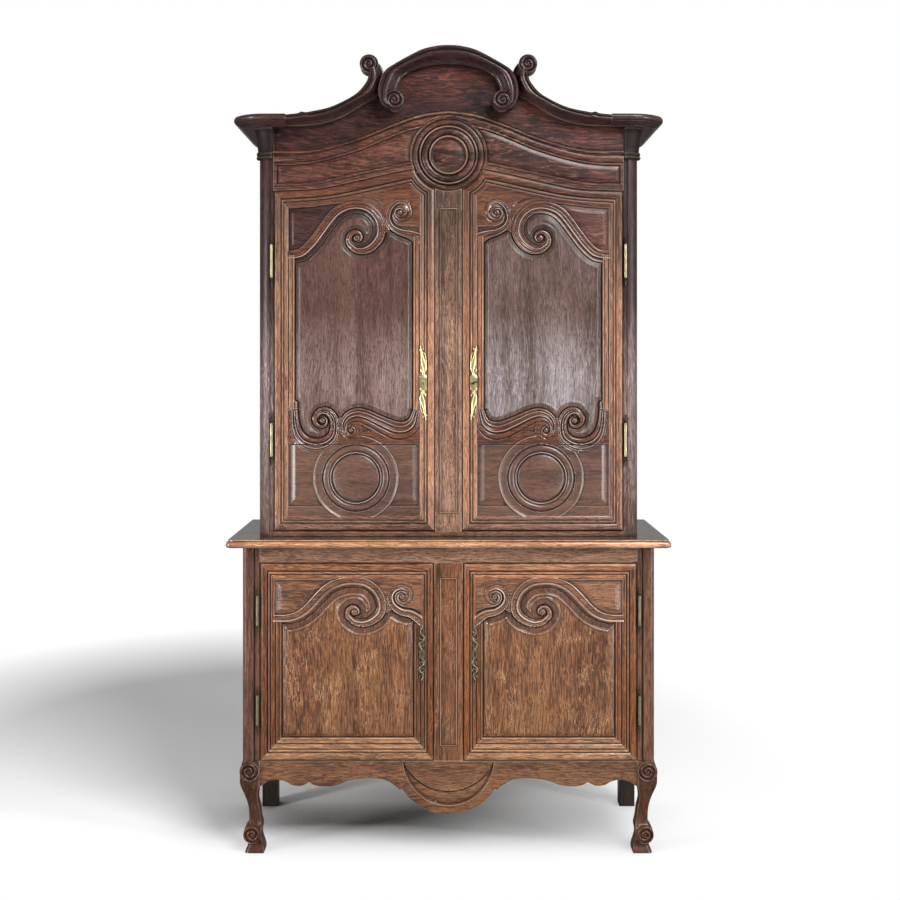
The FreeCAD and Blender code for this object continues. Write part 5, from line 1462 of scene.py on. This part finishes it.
def floor():
    """A pale floor that keeps the shadow near the object and is plain white to the camera far away."""
    t = Tree(bpy.data.materials.new("pale_floor"))
    place = t.add("ShaderNodeTexCoord", {}).outputs["Object"]
    shifted = t.add("ShaderNodeVectorMath", {0: place, 1: (0.75, -0.9, 0.0)}, operation="ADD").outputs[0]
    length = t.add("ShaderNodeVectorMath", {0: t.scaled(shifted, (1.0, 0.8, 1.0))}, operation="LENGTH")
    grain = t.noise(place, 60.0, 4.0)
    tone = t.mix(grain, *(colour(tone) for tone in FLOOR_TONES))
    path = t.add("ShaderNodeLightPath", {})
    # Painted shadow: ambient occlusion darkens the floor under and round the object
    shut = t.add("ShaderNodeAmbientOcclusion", {"Distance": 0.7}, samples=8).outputs["AO"]
    tone = t.mix(t.remap(shut, 0.1, 0.85), colour(FLOOR_SHADE), tone)
    tone = t.mix(path.outputs["Is Glossy Ray"], tone, colour(FLOOR_MIRRORED))
    matt = t.add("ShaderNodeBsdfDiffuse", {"Color": tone})
    white = t.add("ShaderNodeEmission", {"Color": (1, 1, 1, 1), "Strength": 1.0})
    before = t.remap(t.add("ShaderNodeSeparateXYZ", {0: place}).outputs[1], 0.05, -0.3)
    far = t.math("MAXIMUM", t.remap(length.outputs["Value"], 0.9, 2.0), before)
    # Painted light: open floor near the object takes up to 0.17 of white glow
    far = t.math("MAXIMUM", far, t.remap(shut, 0.4, 0.9, 0.0, 0.17))
    far = t.math("MULTIPLY", far, path.outputs["Is Camera Ray"])
    mixed = t.add("ShaderNodeMixShader", {0: far, 1: matt.outputs[0], 2: white.outputs[0]})
    mesh = bpy.data.meshes.new("floor")
    corners = rectangle(-FLOOR_HALF, FLOOR_HALF, -FLOOR_HALF, FLOOR_HALF)
    mesh.from_pydata([(x, y, 0) for x, y in corners], [], [(0, 1, 2, 3)])
    mesh.materials.append(t.finish(mixed))
    ground = add_object("floor", mesh)


def lamp(name, place, aim, size, power):
    """A rectangular lamp at a place, turned to what it aims at."""
    data = bpy.data.lights.new(name, "AREA")
    data.shape = "RECTANGLE"
    data.size, data.size_y = size
    data.energy = power
    light = add_object(name, data)
    light.location = place
    light.rotation_euler = (Vector(aim) - Vector(place)).to_track_quat("-Z", "Y").to_euler()


floor()
lamp("key", (2.3, -4.0, 4.6), (0, 0, 0.6), (2.4, 2.4), 430)
lamp("right_window", (4.0, -2.6, 1.3), (0, -0.2, 1.2), (0.7, 2.0), 130)
lamp("left_window", (-3.8, -2.6, 1.3), (0, -0.2, 1.2), (0.7, 2.0), 170)
lamp("right_low", (2.0, -2.7, 0.3), (0, -0.2, 1.7), (0.3, 0.6), 12)
lamp("left_low", (-2.0, -2.7, 0.3), (0, -0.2, 1.7), (0.3, 0.6), 12)

# Strength of the white room as light, and where the wax mirrors it: behind the cabinet, left and right
# before it, and overhead
AMBIENT = 0.14
BEHIND = 0.3
BEFORE = (0.13, 0.26)
OVERHEAD = 0.03


def room():
    """A white room that is plain white to the camera and dim towards the ceiling over it."""
    world = bpy.data.worlds.new("studio")
    t = Tree(world)
    way = t.add("ShaderNodeSeparateXYZ", {0: t.add("ShaderNodeTexCoord", {}).outputs["Generated"]}).outputs
    ray = t.add("ShaderNodeLightPath", {}).outputs
    before = t.remap(way[0], -0.12, 0.12, *BEFORE)
    before = t.add("ShaderNodeMix", {0: t.remap(way[2], 0.04, 0.13), 2: before, 3: OVERHEAD}).outputs[0]
    glossy = t.add("ShaderNodeMix", {0: t.remap(way[1], -0.1, 0.1), 2: before, 3: BEHIND}).outputs[0]
    strength = t.add("ShaderNodeMix", {0: ray["Is Glossy Ray"], 2: AMBIENT, 3: glossy}).outputs[0]
    shown = t.math("MAXIMUM", ray["Is Camera Ray"], ray["Is Transmission Ray"])
    strength = t.math("MAXIMUM", strength, shown)
    t.finish(t.add("ShaderNodeBackground", {"Color": (1, 1, 1, 1), "Strength": strength}))
    bpy.context.scene.world = world


room()
lens = bpy.data.cameras.new("camera")
lens.sensor_width = 36.0
lens.lens = 56.0
lens.shift_x = 0.0017
lens.shift_y = -0.1
camera = add_object("camera", lens)
camera.location = (0, -4.429, 1.482)
camera.rotation_euler = (math.pi / 2, 0, 0)
bpy.context.scene.camera = camera
bpy.context.scene.view_settings.view_transform = "Standard"
